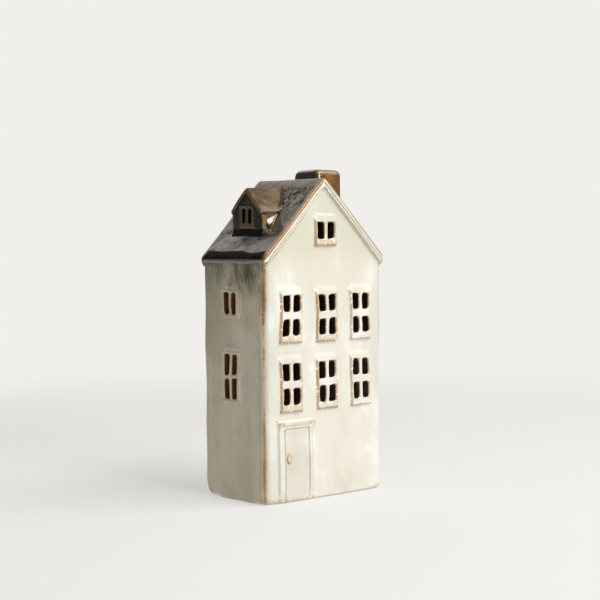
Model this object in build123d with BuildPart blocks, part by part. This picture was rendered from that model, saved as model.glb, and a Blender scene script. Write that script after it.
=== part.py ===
"""Tealight house: a glazed stoneware house with a gable roof, luted together from clay slabs.

The front faces -Y, the candle opening in the back wall faces +Y, +Z is up, and the origin is
the middle of the underside. All lengths are in millimetres.
"""

import os
from math import atan2, cos

from build123d import *

# House body
body_width = 93.0
wall_thickness = 5.0
floor_thickness = 5.0
corner_radius = 4.0
base_radius = 1.5

# Main roof: the eaves above the upper sills, and the ridge, before rounding, above the eaves
eave_rise = 49.6
roof_rise = 46.0
roof_thickness = 4.0
eave_overhang = 0.8
ridge_radius = 2.5
eave_radius = 1.6

# Raised band along each gable, deeper than the ends of the roof slabs that it covers
band_width = 5.0
band_relief = 1.4
band_edge_radius = 0.6

# Front windows: two columns of panes in a raised frame with a deep sill, the outer ones a
# margin away from the corners. The lower sills stand a gap above the door surround, the upper
# ones a storey higher, and the attic's above the eaves
pane_width = 4.7
pane_height = 9.6
pane_corner = 0.7
mullion_width = 3.0
transom_height = 4.2
frame_side = 2.1
frame_head = 2.8
frame_sill = 4.0
frame_relief = 1.0
window_margin = 10.6
window_shift = 0.6
lower_sill_gap = 5.0
storey_height = 39.2
attic_sill_rise = 5.9

# Side windows, each under a low arched hood, a little behind the middle of the wall, with
# their sills a step above those of the front windows
side_pane_width = 4.5
side_lower_pane_height = 11.8
side_upper_pane_height = 12.6
side_mullion = 2.1
side_transom = 2.2
side_frame_side = 2.5
side_frame_head = 1.8
side_frame_sill = 1.8
side_window_shift = 2.3
side_lower_sill_step = 4.7
side_upper_sill_step = 14.5
hood_margin = 1.9
hood_crown = 3.6
hood_shoulder = 2.4
hood_relief = 0.5

# Front door with its surround and knob, a margin away from the left corner
door_margin = 9.1
door_width = 18.6
door_height = 42.4
door_relief = 0.5
surround_side = 4.8
surround_head = 4.8
surround_relief = 1.2
surround_step = 1.8
surround_step_relief = 0.7
knob_width = 4.2
knob_length = 6.4
knob_height = 0.9
knob_inset = 2.9
knob_centre_height = 25.8
knob_crown_share = 0.5

# Dormer on the left slope
dormer_reach = 33.5
dormer_shift = 2.7
dormer_width = 27.0
dormer_wall = 3.5
dormer_wall_rise = 13.4
dormer_gable_rise = 13.8
dormer_roof_thickness = 2.2
dormer_overhang = 0.5
dormer_ridge_radius = 1.2
dormer_pane_width = 3.0
dormer_pane_height = 8.8
dormer_mullion = 2.4
dormer_frame_side = 2.2
dormer_frame_head = 1.8
dormer_frame_sill = 2.8
dormer_sill_rise = 3.2
dormer_frame_relief = 0.7
light_well_length = 10.0
light_well_ledge = 1.5

# Chimney on the right slope, with an open flue
chimney_offset = 7.4
chimney_width = 20.8
chimney_depth = 24.0
chimney_shift = -1.8
chimney_rise = 5.0
chimney_wall = 5.0
chimney_corner_radius = 3.0
chimney_top_radius = 2.2

# Arched opening in the back wall, level with the floor
opening_height = 60.0

# Room left around the tealight: to each wall, to each side of the opening, and under it
chamber_gap = 3.5
opening_gap = 3.5
slide_clearance = 0.3

# Tealight
cup_diameter = 38.0
cup_height = 16.0
cup_wall = 0.4
cup_base_chamfer = 1.0
cup_lip = 0.5
wax_level = 13.5
wax_clearance = 0.05
wick_diameter = 1.6
wick_rise = 6.0
wick_base_diameter = 14.0
wick_base_thickness = 0.5
wick_collar_diameter = 2.8
wick_collar_height = 3.0

# Sizes that follow from the ones above
lip_diameter = cup_diameter + 2 * cup_lip
opening_width = lip_diameter + 2 * opening_gap
body_depth = lip_diameter + 2 * (chamber_gap + wall_thickness)
lower_sill_height = door_height + surround_head + lower_sill_gap
upper_sill_height = lower_sill_height + storey_height
eave_height = upper_sill_height + eave_rise
ridge_height = eave_height + roof_rise
attic_sill_height = eave_height + attic_sill_rise
side_lower_sill_height = lower_sill_height + side_lower_sill_step
side_upper_sill_height = upper_sill_height + side_upper_sill_step
half_width = body_width / 2
half_depth = body_depth / 2
frame_width = 2 * (pane_width + frame_side) + mullion_width
window_spacing = half_width - window_margin - frame_width / 2
door_centre = door_margin + surround_side + door_width / 2 - half_width
inner_half_width = half_width - wall_thickness
inner_half_depth = half_depth - wall_thickness
roof_slope = roof_rise / half_width
roof_pitch = atan2(roof_rise, half_width)
roof_drop = roof_thickness / cos(roof_pitch)
band_drop = band_width / cos(roof_pitch)
eave_reach = half_width + eave_overhang
dormer_half_width = dormer_width / 2
dormer_slope = dormer_gable_rise / dormer_half_width
dormer_drop = dormer_roof_thickness / cos(atan2(dormer_gable_rise, dormer_half_width))
chimney_centre = chimney_offset + chimney_width / 2
tealight_bottom = floor_thickness + slide_clearance
overrun = body_width

# Outer faces, each looking outwards with its own Y axis up
front_face = Plane(origin=(0, -half_depth, 0), x_dir=(1, 0, 0), z_dir=(0, -1, 0))
back_face = Plane(origin=(0, half_depth, 0), x_dir=(-1, 0, 0), z_dir=(0, 1, 0))
left_face = Plane(origin=(-half_width, 0, 0), x_dir=(0, -1, 0), z_dir=(-1, 0, 0))
right_face = Plane(origin=(half_width, 0, 0), x_dir=(0, 1, 0), z_dir=(1, 0, 0))
dormer_face = Plane(
    origin=(-dormer_reach, dormer_shift, 0), x_dir=(0, -1, 0), z_dir=(-1, 0, 0)
)


def roof_top(x):
    """Height of the main roof's top surface above a point at x."""
    return ridge_height - roof_slope * abs(x)


def roof_underside(x):
    """Height of the main roof's underside above a point at x."""
    return roof_top(x) - roof_drop


dormer_eave_height = roof_top(dormer_reach) + dormer_wall_rise


def dormer_top(across):
    """Height of the dormer roof's top surface at a distance from the dormer's ridge."""
    return dormer_eave_height + dormer_gable_rise - dormer_slope * abs(across)


def dormer_underside(across):
    """Height of the dormer roof's underside at a distance from the dormer's ridge."""
    return dormer_top(across) - dormer_drop


def save(piece, name):
    """Label a finished piece and write it under its own name."""
    piece.part.label = name
    export_step(piece.part, f"parts/{name}.step")


class Window:
    """One window: two columns of panes above a sill, inside a frame."""

    def __init__(self, centre, sill, pane, gaps, borders, rows):
        side, head, foot = borders
        self.pane, self.rows = pane, rows
        self.pitch = (pane[0] + gaps[0], pane[1] + gaps[1])
        panes_height = rows * pane[1] + (rows - 1) * gaps[1]
        self.width = 2 * pane[0] + gaps[0] + 2 * side
        self.height = panes_height + head + foot
        self.centre, self.sill = centre, sill
        self.panes_middle = (centre, sill + foot + panes_height / 2)
        self.frame_middle = (centre, sill + self.height / 2)

    def panes(self, face):
        """Profile of all the panes, eased in their corners, on an outer face."""
        with BuildSketch(face) as profile:
            with Locations(self.panes_middle):
                with GridLocations(self.pitch[0], self.pitch[1], 2, self.rows):
                    Rectangle(self.pane[0], self.pane[1])
            chamfer(profile.vertices(), pane_corner)
        return profile.sketch

    def wall_cuts(self, face):
        """Profile of the cuts through the wall behind the frame, on an outer face."""
        with BuildSketch(face) as profile:
            with Locations(self.panes_middle):
                with GridLocations(self.pitch[0], self.pitch[1], 2, self.rows):
                    Rectangle(self.pane[0], self.pane[1])
        return profile.sketch

    def border(self, face):
        """Profile of the frame's outline, on an outer face."""
        with BuildSketch(face) as profile:
            with Locations(self.frame_middle):
                Rectangle(self.width, self.height)
        return profile.sketch

    def hood(self, face):
        """Profile of the arched hood around the frame, on an outer face."""
        half = self.width / 2 + hood_margin
        crown = self.sill + self.height + hood_crown
        shoulder = self.sill + self.height - hood_shoulder
        with BuildSketch(face) as profile:
            with BuildLine():
                Polyline(
                    (self.centre - half, shoulder),
                    (self.centre - half, self.sill),
                    (self.centre + half, self.sill),
                    (self.centre + half, shoulder),
                )
                ThreePointArc(
                    (self.centre - half, shoulder),
                    (self.centre, crown),
                    (self.centre + half, shoulder),
                )
            make_face()
        return profile.sketch


def front_windows():
    """The six front windows and the attic window, by name."""
    pane, gaps = (pane_width, pane_height), (mullion_width, transom_height)
    borders = (frame_side, frame_head, frame_sill)
    windows = {}
    for row, sill in (("lower", lower_sill_height), ("upper", upper_sill_height)):
        for step, column in ((-1, "left"), (0, "middle"), (1, "right")):
            centre = window_shift + step * window_spacing
            windows[f"window_{row}_{column}"] = Window(centre, sill, pane, gaps, borders, 2)
    windows["window_attic"] = Window(window_shift, attic_sill_height, pane, gaps, borders, 1)
    return windows


def side_windows(shift):
    """The lower and upper window of one side wall, shifted along its face."""
    gaps = (side_mullion, side_transom)
    borders = (side_frame_side, side_frame_head, side_frame_sill)
    lower_pane = (side_pane_width, side_lower_pane_height)
    upper_pane = (side_pane_width, side_upper_pane_height)
    return {
        "lower": Window(shift, side_lower_sill_height, lower_pane, gaps, borders, 2),
        "upper": Window(shift, side_upper_sill_height, upper_pane, gaps, borders, 1),
    }


def dormer_window():
    """The window in the dormer's face."""
    sill = roof_top(dormer_reach) + dormer_sill_rise
    pane, gaps = (dormer_pane_width, dormer_pane_height), (dormer_mullion, 0)
    borders = (dormer_frame_side, dormer_frame_head, dormer_frame_sill)
    return Window(0, sill, pane, gaps, borders, 1)


def gable_profile(face):
    """Outline of a gable wall, up to the underside of the roof."""
    with BuildSketch(face) as profile:
        with BuildLine():
            Polyline(
                (-half_width, 0),
                (half_width, 0),
                (half_width, roof_underside(half_width)),
                (0, roof_underside(0)),
                (-half_width, roof_underside(half_width)),
                close=True,
            )
        make_face()
    return profile.sketch


def roof_profile(face, drop):
    """Cross-section of both slopes down to a depth, with a rounded ridge and eaves."""
    with BuildSketch(face) as profile:
        with BuildLine():
            Polyline(
                (-eave_reach, roof_top(eave_reach) - drop),
                (0, roof_top(0) - drop),
                (eave_reach, roof_top(eave_reach) - drop),
                (eave_reach, roof_top(eave_reach)),
                (0, roof_top(0)),
                (-eave_reach, roof_top(eave_reach)),
                close=True,
            )
        make_face()
        eaves = profile.vertices().group_by(Axis.X)
        fillet(profile.vertices().sort_by(Axis.Y)[-1], ridge_radius)
        fillet(eaves[0] + eaves[-1], eave_radius)
    return profile.sketch


def under_roof_profile():
    """Everything below the roof's top surface, to trim what stands on a slope."""
    with BuildSketch(Plane.XZ) as profile:
        with BuildLine():
            Polyline(
                (-overrun, roof_top(overrun)),
                (0, roof_top(0)),
                (overrun, roof_top(overrun)),
                (overrun, -overrun),
                (-overrun, -overrun),
                close=True,
            )
        make_face()
    return profile.sketch


def make_front_wall(windows):
    """Front gable wall with all its panes."""
    with BuildPart() as front_wall:
        extrude(gable_profile(front_face), amount=-wall_thickness)
        corners = front_wall.edges().filter_by(Axis.Z).group_by(Axis.Y)[0]
        fillet(corners, corner_radius)
        base = front_wall.edges().group_by(Axis.Z)[0].filter_by(Axis.X).sort_by(Axis.Y)[0]
        fillet(base, base_radius)
        for window in windows.values():
            extrude(window.wall_cuts(front_face), amount=-wall_thickness, mode=Mode.SUBTRACT)
    return front_wall


def make_back_wall():
    """Back gable wall with the arched opening that the tealight goes in by."""
    arch_radius = opening_width / 2
    spring = floor_thickness + opening_height - arch_radius
    with BuildPart() as back_wall:
        extrude(gable_profile(back_face), amount=-wall_thickness)
        corners = back_wall.edges().filter_by(Axis.Z).group_by(Axis.Y)[-1]
        fillet(corners, corner_radius)
        base = back_wall.edges().group_by(Axis.Z)[0].filter_by(Axis.X).sort_by(Axis.Y)[-1]
        fillet(base, base_radius)
        with BuildSketch(back_face):
            with BuildLine():
                Polyline(
                    (-arch_radius, spring),
                    (-arch_radius, floor_thickness),
                    (arch_radius, floor_thickness),
                    (arch_radius, spring),
                )
                ThreePointArc(
                    (-arch_radius, spring),
                    (0, spring + arch_radius),
                    (arch_radius, spring),
                )
            make_face()
        extrude(amount=-wall_thickness, mode=Mode.SUBTRACT)
    return back_wall


def make_side_wall(side, face, windows):
    """Side wall between the gables, cut to the slope at its top. Side is -1 left, 1 right."""
    inner, outer = side * inner_half_width, side * half_width
    with BuildPart() as side_wall:
        with BuildSketch(Plane.XZ):
            with BuildLine():
                Polyline(
                    (inner, 0),
                    (outer, 0),
                    (outer, roof_underside(outer)),
                    (inner, roof_underside(inner)),
                    close=True,
                )
            make_face()
        extrude(amount=inner_half_depth, both=True)
        base = side_wall.edges().group_by(Axis.Z)[0].filter_by(Axis.Y)
        fillet(base.sort_by(Axis.X)[-1 if side > 0 else 0], base_radius)
        for window in windows.values():
            extrude(window.wall_cuts(face), amount=-wall_thickness, mode=Mode.SUBTRACT)
    return side_wall


def make_floor():
    """Floor slab between the four walls."""
    with BuildPart() as floor:
        with BuildSketch():
            Rectangle(2 * inner_half_width, 2 * inner_half_depth)
        extrude(amount=floor_thickness)
    return floor


def light_well():
    """Hole through the left slope that lets light up into the dormer."""
    well_half_width = dormer_half_width - dormer_wall - light_well_ledge
    outer = -(dormer_reach - dormer_wall - light_well_ledge)
    with BuildSketch() as profile:
        with Locations((outer + light_well_length / 2, dormer_shift)):
            Rectangle(light_well_length, 2 * well_half_width)
    return profile.sketch


def flue():
    """Hole through the right slope and up the chimney."""
    with BuildSketch() as profile:
        with Locations((chimney_centre, chimney_shift)):
            Rectangle(chimney_width - 2 * chimney_wall, chimney_depth - 2 * chimney_wall)
    return profile.sketch


def make_roof_slab(keep, hole):
    """One slope of the main roof, mitred at the ridge, with a hole from below to above."""
    with BuildPart() as roof_slab:
        extrude(roof_profile(Plane.XZ, roof_drop), amount=half_depth, both=True)
        split(bisect_by=Plane.YZ, keep=keep)
        extrude(hole, amount=overrun + ridge_height, mode=Mode.SUBTRACT)
    return roof_slab


def make_gable_band(face):
    """Raised band over the ends of the roof slabs: two strips, mitred at the apex."""
    with BuildPart() as gable_band:
        extrude(roof_profile(face, band_drop), amount=band_relief)
        outer = gable_band.faces().sort_by(Axis(face.origin, face.z_dir))[-1]
        fillet(outer.edges(), band_edge_radius)
        split(bisect_by=Plane.YZ, keep=Keep.BOTH)
    return gable_band


def make_front_frame(window):
    """Raised front window frame with its mullion and transom."""
    with BuildPart() as frame:
        extrude(window.border(front_face), amount=frame_relief)
        extrude(window.panes(front_face), amount=frame_relief, mode=Mode.SUBTRACT)
    return frame


def make_dormer_frame(window):
    """Raised frame of the dormer's window, trimmed where it meets the dormer's roof."""
    with BuildPart() as frame:
        extrude(window.border(dormer_face), amount=dormer_frame_relief)
        extrude(window.panes(dormer_face), amount=dormer_frame_relief, mode=Mode.SUBTRACT)
        extrude(dormer_gable_profile(), amount=dormer_frame_relief, mode=Mode.INTERSECT)
    return frame


def make_hooded_frame(window, face):
    """Raised side window frame on its low arched hood."""
    with BuildPart() as frame:
        extrude(window.hood(face), amount=hood_relief)
        extrude(window.border(face), amount=frame_relief)
        extrude(window.panes(face), amount=frame_relief, mode=Mode.SUBTRACT)
    return frame


def portal_profile(width, height):
    """Upright rectangle on the front face, from the top of the base rounding."""
    with BuildSketch(front_face) as profile:
        with Locations((door_centre, base_radius)):
            Rectangle(width, height - base_radius, align=(Align.CENTER, Align.MIN))
    return profile.sketch


def make_door_surround():
    """Door surround in two steps, open at the foot."""
    door = (door_width, door_height)
    outer = (door_width + 2 * surround_side, door_height + surround_head)
    step = (door_width + 2 * surround_step, door_height + surround_step)
    with BuildPart() as surround:
        extrude(portal_profile(*outer), amount=surround_relief)
        extrude(portal_profile(*step), amount=surround_relief, mode=Mode.SUBTRACT)
        extrude(portal_profile(*step), amount=surround_step_relief)
        extrude(portal_profile(*door), amount=surround_relief, mode=Mode.SUBTRACT)
    return surround


def make_door_leaf():
    """Flat door leaf inside the surround."""
    with BuildPart() as leaf:
        extrude(portal_profile(door_width, door_height), amount=door_relief)
    return leaf


def make_door_knob():
    """Drop-shaped knob near the left edge of the door leaf."""
    knob_place = (door_centre - door_width / 2 + knob_inset, knob_centre_height)
    with BuildPart() as knob:
        for rise, share in ((door_relief, 1), (door_relief + knob_height, knob_crown_share)):
            with BuildSketch(front_face.offset(rise)):
                with Locations(knob_place):
                    Ellipse(knob_width / 2 * share, knob_length / 2 * share)
        loft()
    return knob


def dormer_roof_profile(face):
    """Cross-section of both slopes of the dormer's roof."""
    reach = dormer_half_width + dormer_overhang
    with BuildSketch(face) as profile:
        with BuildLine():
            Polyline(
                (-reach, dormer_underside(reach)),
                (0, dormer_underside(0)),
                (reach, dormer_underside(reach)),
                (reach, dormer_top(reach)),
                (0, dormer_top(0)),
                (-reach, dormer_top(reach)),
                close=True,
            )
        make_face()
        fillet(profile.vertices().sort_by(Axis.Y)[-1], dormer_ridge_radius)
    return profile.sketch


def dormer_gable_profile():
    """Outline of the dormer's face, up to the underside of its roof."""
    with BuildSketch(dormer_face) as profile:
        with BuildLine():
            Polyline(
                (-dormer_half_width, 0),
                (dormer_half_width, 0),
                (dormer_half_width, dormer_underside(dormer_half_width)),
                (0, dormer_underside(0)),
                (-dormer_half_width, dormer_underside(dormer_half_width)),
                close=True,
            )
        make_face()
    return profile.sketch


def make_dormer_front(window):
    """Dormer face with its window, standing on the left slope."""
    with BuildPart() as dormer_front:
        extrude(dormer_gable_profile(), amount=-dormer_wall)
        extrude(under_roof_profile(), amount=overrun, both=True, mode=Mode.SUBTRACT)
        extrude(window.wall_cuts(dormer_face), amount=-dormer_wall, mode=Mode.SUBTRACT)
    return dormer_front


def make_dormer_cheek(side):
    """Triangular side wall of the dormer. Side is -1 for the back one, 1 for the front one."""
    inner, outer = side * (dormer_half_width - dormer_wall), side * dormer_half_width
    with BuildPart() as cheek:
        with BuildSketch(dormer_face.offset(-dormer_wall)):
            with BuildLine():
                Polyline(
                    (inner, 0),
                    (outer, 0),
                    (outer, dormer_underside(outer)),
                    (inner, dormer_underside(inner)),
                    close=True,
                )
            make_face()
        extrude(amount=-(dormer_reach - dormer_wall))
        extrude(under_roof_profile(), amount=overrun, both=True, mode=Mode.SUBTRACT)
    return cheek


def make_dormer_roof():
    """Dormer roof: two slabs mitred at their ridge and cut to the main slope."""
    with BuildPart() as dormer_roof:
        extrude(
            dormer_roof_profile(dormer_face.offset(dormer_overhang)),
            amount=-(dormer_reach + dormer_overhang),
        )
        extrude(under_roof_profile(), amount=overrun, both=True, mode=Mode.SUBTRACT)
        split(bisect_by=Plane.XZ.offset(-dormer_shift), keep=Keep.BOTH)
    return dormer_roof


def make_chimney():
    """Chimney block cut to the right slope, with an open flue."""
    with BuildPart() as chimney:
        with BuildSketch(Plane.XY.offset(ridge_height + chimney_rise)):
            with Locations((chimney_centre, chimney_shift)):
                RectangleRounded(chimney_width, chimney_depth, chimney_corner_radius)
        extrude(amount=-ridge_height)
        fillet(chimney.faces().sort_by(Axis.Z)[-1].edges(), chimney_top_radius)
        extrude(under_roof_profile(), amount=overrun, both=True, mode=Mode.SUBTRACT)
        extrude(flue(), amount=overrun + ridge_height, mode=Mode.SUBTRACT)
    return chimney


def make_candle_cup():
    """Thin pressed cup with a rolled lip, open at the top."""
    radius = cup_diameter / 2
    with BuildPart() as cup:
        with BuildSketch(Plane.XY.offset(tealight_bottom)):
            Circle(radius)
        extrude(amount=cup_height)
        chamfer(cup.edges().sort_by(Axis.Z)[0], cup_base_chamfer)
        offset(amount=-cup_wall, openings=cup.faces().sort_by(Axis.Z)[-1])
        with BuildSketch(Plane.XY.offset(tealight_bottom + cup_height - cup_lip)):
            Circle(lip_diameter / 2)
            Circle(radius - cup_wall, mode=Mode.SUBTRACT)
        extrude(amount=cup_lip)
    return cup


def make_wick_base():
    """Flat steel disc under the wax, with a collar that grips the wick."""
    with BuildPart() as wick_base:
        with BuildSketch(Plane.XY.offset(tealight_bottom + cup_wall)):
            Circle(wick_base_diameter / 2)
        extrude(amount=wick_base_thickness)
        with BuildSketch(Plane.XY.offset(tealight_bottom + cup_wall + wick_base_thickness)):
            Circle(wick_collar_diameter / 2)
        extrude(amount=wick_collar_height)
        with BuildSketch(Plane.XY.offset(tealight_bottom + cup_wall + wick_base_thickness)):
            Circle(wick_diameter / 2)
        extrude(amount=wick_collar_height, mode=Mode.SUBTRACT)
    return wick_base


def make_wax():
    """Wax filling, moulded around the wick and its base."""
    bottom = tealight_bottom + cup_wall
    with BuildPart() as wax:
        with BuildSketch(Plane.XY.offset(bottom)):
            Circle(cup_diameter / 2 - cup_wall - wax_clearance)
        extrude(amount=wax_level - cup_wall)
        chamfer(wax.edges().sort_by(Axis.Z)[0], cup_base_chamfer)
        with BuildSketch(Plane.XY.offset(bottom)):
            Circle(wick_base_diameter / 2 + wax_clearance)
        extrude(amount=wick_base_thickness, mode=Mode.SUBTRACT)
        with BuildSketch(Plane.XY.offset(bottom)):
            Circle(wick_collar_diameter / 2 + wax_clearance)
        extrude(amount=wick_base_thickness + wick_collar_height, mode=Mode.SUBTRACT)
        with BuildSketch(Plane.XY.offset(bottom)):
            Circle(wick_diameter / 2 + wax_clearance)
        extrude(amount=wax_level, mode=Mode.SUBTRACT)
    return wax


def make_wick():
    """Cotton wick, from its base up through the wax."""
    foot = cup_wall + wick_base_thickness
    with BuildPart() as wick:
        with BuildSketch(Plane.XY.offset(tealight_bottom + foot)):
            Circle(wick_diameter / 2 - wax_clearance)
        extrude(amount=wax_level + wick_rise - foot)
        chamfer(wick.edges().sort_by(Axis.Z)[-1], wick_diameter / 4)
    return wick


def main():
    """Build every piece and write it."""
    os.makedirs("parts", exist_ok=True)
    front = front_windows()
    left = side_windows(-side_window_shift)
    right = side_windows(side_window_shift)
    dormer = dormer_window()

    pieces = {
        "front_wall": make_front_wall(front),
        "back_wall": make_back_wall(),
        "left_wall": make_side_wall(-1, left_face, left),
        "right_wall": make_side_wall(1, right_face, right),
        "floor": make_floor(),
        "roof_left": make_roof_slab(Keep.BOTTOM, light_well()),
        "roof_right": make_roof_slab(Keep.TOP, flue()),
        "gable_band_front": make_gable_band(front_face),
        "gable_band_back": make_gable_band(back_face),
        "chimney": make_chimney(),
        "dormer_front": make_dormer_front(dormer),
        "dormer_cheek_front": make_dormer_cheek(1),
        "dormer_cheek_back": make_dormer_cheek(-1),
        "dormer_roof": make_dormer_roof(),
        "dormer_frame": make_dormer_frame(dormer),
        "door_surround": make_door_surround(),
        "door_leaf": make_door_leaf(),
        "door_knob": make_door_knob(),
        "candle_cup": make_candle_cup(),
        "wax": make_wax(),
        "wick": make_wick(),
        "wick_base": make_wick_base(),
    }
    for name, window in front.items():
        pieces[name] = make_front_frame(window)
    for side, face, windows in (("left", left_face, left), ("right", right_face, right)):
        for row, window in windows.items():
            pieces[f"window_{side}_side_{row}"] = make_hooded_frame(window, face)
    for name, piece in pieces.items():
        save(piece, name)


main()
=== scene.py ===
"""Tealight house: its glazed stoneware pieces, the tealight, and a plain studio around them.

Sizes are in millimetres until a piece is finished. The front faces -Y, +Z is up, and the
origin is the middle of the underside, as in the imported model.
"""

import logging
import math
from collections.abc import Callable, Iterable, Sequence
from dataclasses import dataclass, field
from enum import Enum

import bmesh
import bpy
import numpy as np
from mathutils import Matrix, Vector


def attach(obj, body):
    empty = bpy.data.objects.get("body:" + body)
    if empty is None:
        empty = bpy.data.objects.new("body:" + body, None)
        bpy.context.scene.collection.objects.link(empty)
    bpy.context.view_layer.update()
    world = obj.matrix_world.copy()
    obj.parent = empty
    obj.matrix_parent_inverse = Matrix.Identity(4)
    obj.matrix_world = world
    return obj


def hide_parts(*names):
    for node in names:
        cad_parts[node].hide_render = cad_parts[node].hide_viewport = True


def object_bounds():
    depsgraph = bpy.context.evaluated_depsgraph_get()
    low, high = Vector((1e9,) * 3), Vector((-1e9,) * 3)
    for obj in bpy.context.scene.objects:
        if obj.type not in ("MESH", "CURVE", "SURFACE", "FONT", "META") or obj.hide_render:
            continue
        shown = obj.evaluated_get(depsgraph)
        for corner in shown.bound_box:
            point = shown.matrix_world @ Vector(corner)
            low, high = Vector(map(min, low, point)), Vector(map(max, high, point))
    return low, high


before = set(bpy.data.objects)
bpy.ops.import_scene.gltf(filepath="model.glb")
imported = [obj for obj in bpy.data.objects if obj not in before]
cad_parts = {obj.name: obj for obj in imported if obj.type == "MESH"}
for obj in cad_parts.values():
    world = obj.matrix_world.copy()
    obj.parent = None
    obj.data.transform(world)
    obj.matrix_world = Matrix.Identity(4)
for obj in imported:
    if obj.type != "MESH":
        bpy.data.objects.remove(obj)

LOG = logging.getLogger("tealight_house")
CAD_BOX = [list(corner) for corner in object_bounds()]
TO_METRES = 0.001

SIDES = (-1, 1)

# Points nearer to each other than this, in millimetres, become one. A larger value would close
# thin cells and leave edges that are open or that four cells share.
WELD = 0.0005

Lines = list[float]
Points = np.ndarray


# ---------------------------------------------------------------- small measures


def ramp(values: Points, low: float, high: float) -> Points:
    """Rise softly from 0 at low to 1 at high.

    Args:
        values: the measures to turn into shares.
        low: where the rise starts.
        high: where the rise ends.

    Returns:
        A share from 0 to 1 for each value.
    """
    share = np.clip((values - low) / (high - low), 0, 1)
    return share * share * (3 - 2 * share)


def round_over(distance: Points, radius: Points | float) -> Points:
    """Measure how far a rounded edge lies under the sharp one.

    Args:
        distance: how far each point is from the sharp edge, along the surface.
        radius: the edge's radius.

    Returns:
        The drop at each point, from the radius at the edge to nothing.
    """
    near = np.clip(distance, 0, radius)
    return radius - np.sqrt(np.maximum(radius**2 - (radius - near) ** 2, 0))


def net(marks: Iterable[float], widest: float, least: float = 0.07) -> Lines:
    """Lay lines through all the marks and fill the wide gaps between them.

    Args:
        marks: places that have to have a line.
        widest: the widest gap that is left between two lines.
        least: marks closer than this share a line.

    Returns:
        The places of the lines, in order.
    """
    lines: Lines = []
    for mark in sorted(marks):
        if lines and mark - lines[-1] < least:
            continue
        if lines:
            gap = mark - lines[-1]
            steps = math.ceil(gap / widest)
            start = lines[-1]
            lines += [start + gap * i / steps for i in range(1, steps)]
        lines.append(mark)
    return lines


def outside_box(across: Points, up: Points, middle: Sequence[float],
                size: Sequence[float]) -> Points:
    """Measure how far points lie outside a rectangle.

    Args:
        across: the points' places across.
        up: the points' heights.
        middle: the rectangle's middle.
        size: the rectangle's width and height.

    Returns:
        The distances, below zero inside.
    """
    dx = np.abs(across - middle[0]) - size[0] / 2
    dy = np.abs(up - middle[1]) - size[1] / 2
    return np.hypot(np.maximum(dx, 0), np.maximum(dy, 0)) + np.minimum(np.maximum(dx, dy), 0)


def length_along(across: Sequence[float], up: Sequence[float]) -> Points:
    """Measure the way along an outline from its first point to each of its points."""
    return np.concatenate([[0], np.cumsum(np.hypot(np.diff(across), np.diff(up)))])


def round_edges(bm: bmesh.types.BMesh, edges: Sequence[bmesh.types.BMEdge], radius: float,
                segments: int) -> None:
    """Round edges of a net."""
    bmesh.ops.bevel(bm, geom=edges, offset=radius, offset_type="OFFSET", segments=segments,
                    profile=0.5, affect="EDGES", material=-1, clamp_overlap=True)


@dataclass(frozen=True)
class House:
    """Main sizes of the fired house, in millimetres."""

    half_width: float = 46.5
    half_depth: float = 28.0
    wall: float = 5.0
    corner: float = 4.0
    foot: float = 1.5
    foot_at_corner: float = 2.2
    foot_spread: tuple[float, float] = (15, 5)
    ridge: float = 187.0
    eave: float = 141.0
    roof_thickness: float = 4.0
    reach: float = 47.3

    @property
    def slope(self) -> float:
        """Fall of the main roof for each millimetre outwards."""
        return (self.ridge - self.eave) / self.half_width

    @property
    def stretch(self) -> float:
        """Length along the slope for each millimetre outwards."""
        return math.hypot(1, self.slope)

    def roof_top(self, x: Points, softness: float = 0.0) -> Points:
        """Height of the roof's top over x, with the ridge eased by a softness."""
        return self.ridge - self.slope * np.sqrt(np.square(x) + softness**2)

    def roof_underside(self, x: Points) -> Points:
        """Height of the roof's underside over x."""
        return self.roof_top(x) - self.roof_thickness * self.stretch

    def foot_round(self, up: Points, from_corner: Points) -> Points:
        """How far the walls draw in at the foot, more towards the corners."""
        more = self.foot_at_corner * ramp(from_corner, *self.foot_spread)
        return round_over(up, self.foot + more)


HOUSE = House()


@dataclass(frozen=True)
class HandDrift:
    """Slow bends that soft clay takes in the hand and the kiln, the same for every piece."""

    strength: float = 0.32
    longest: float = 110.0
    shortest: float = 26.0
    waves: int = 18
    seed: int = 11
    firm_height: float = 12.0
    slump: float = 1.7
    slump_reach: tuple[float, float] = (24, 5)
    slump_height: tuple[float, float] = (16, -2)

    def at(self, points: Points) -> Points:
        """Push points a little out of place.

        Args:
            points: places in millimetres, one to a row.

        Returns:
            The push at each point, nothing on the ground.
        """
        chance = np.random.default_rng(self.seed)
        lengths = chance.uniform(self.shortest, self.longest, self.waves)
        ways = chance.normal(size=(self.waves, 3))
        ways /= np.linalg.norm(ways, axis=1)[:, None]
        turns = points @ (2 * math.pi * ways / lengths[:, None]).T
        turns += chance.uniform(0, 2 * math.pi, self.waves)
        pushes = chance.normal(size=(self.waves, 3)) * self.strength / math.sqrt(self.waves)
        drift = np.sin(turns) @ pushes
        drift[:, 2] *= np.clip(points[:, 2] / self.firm_height, 0, 1)
        from_corner = np.hypot(points[:, 0] + HOUSE.half_width, points[:, 1] - HOUSE.half_depth)
        slump = ramp(from_corner, *self.slump_reach)
        slump *= np.square(ramp(points[:, 2], *self.slump_height))
        drift[:, :2] += slump[:, None] * np.array([self.slump, -self.slump])
        return drift


# ---------------------------------------------------------------- shader expressions


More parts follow.
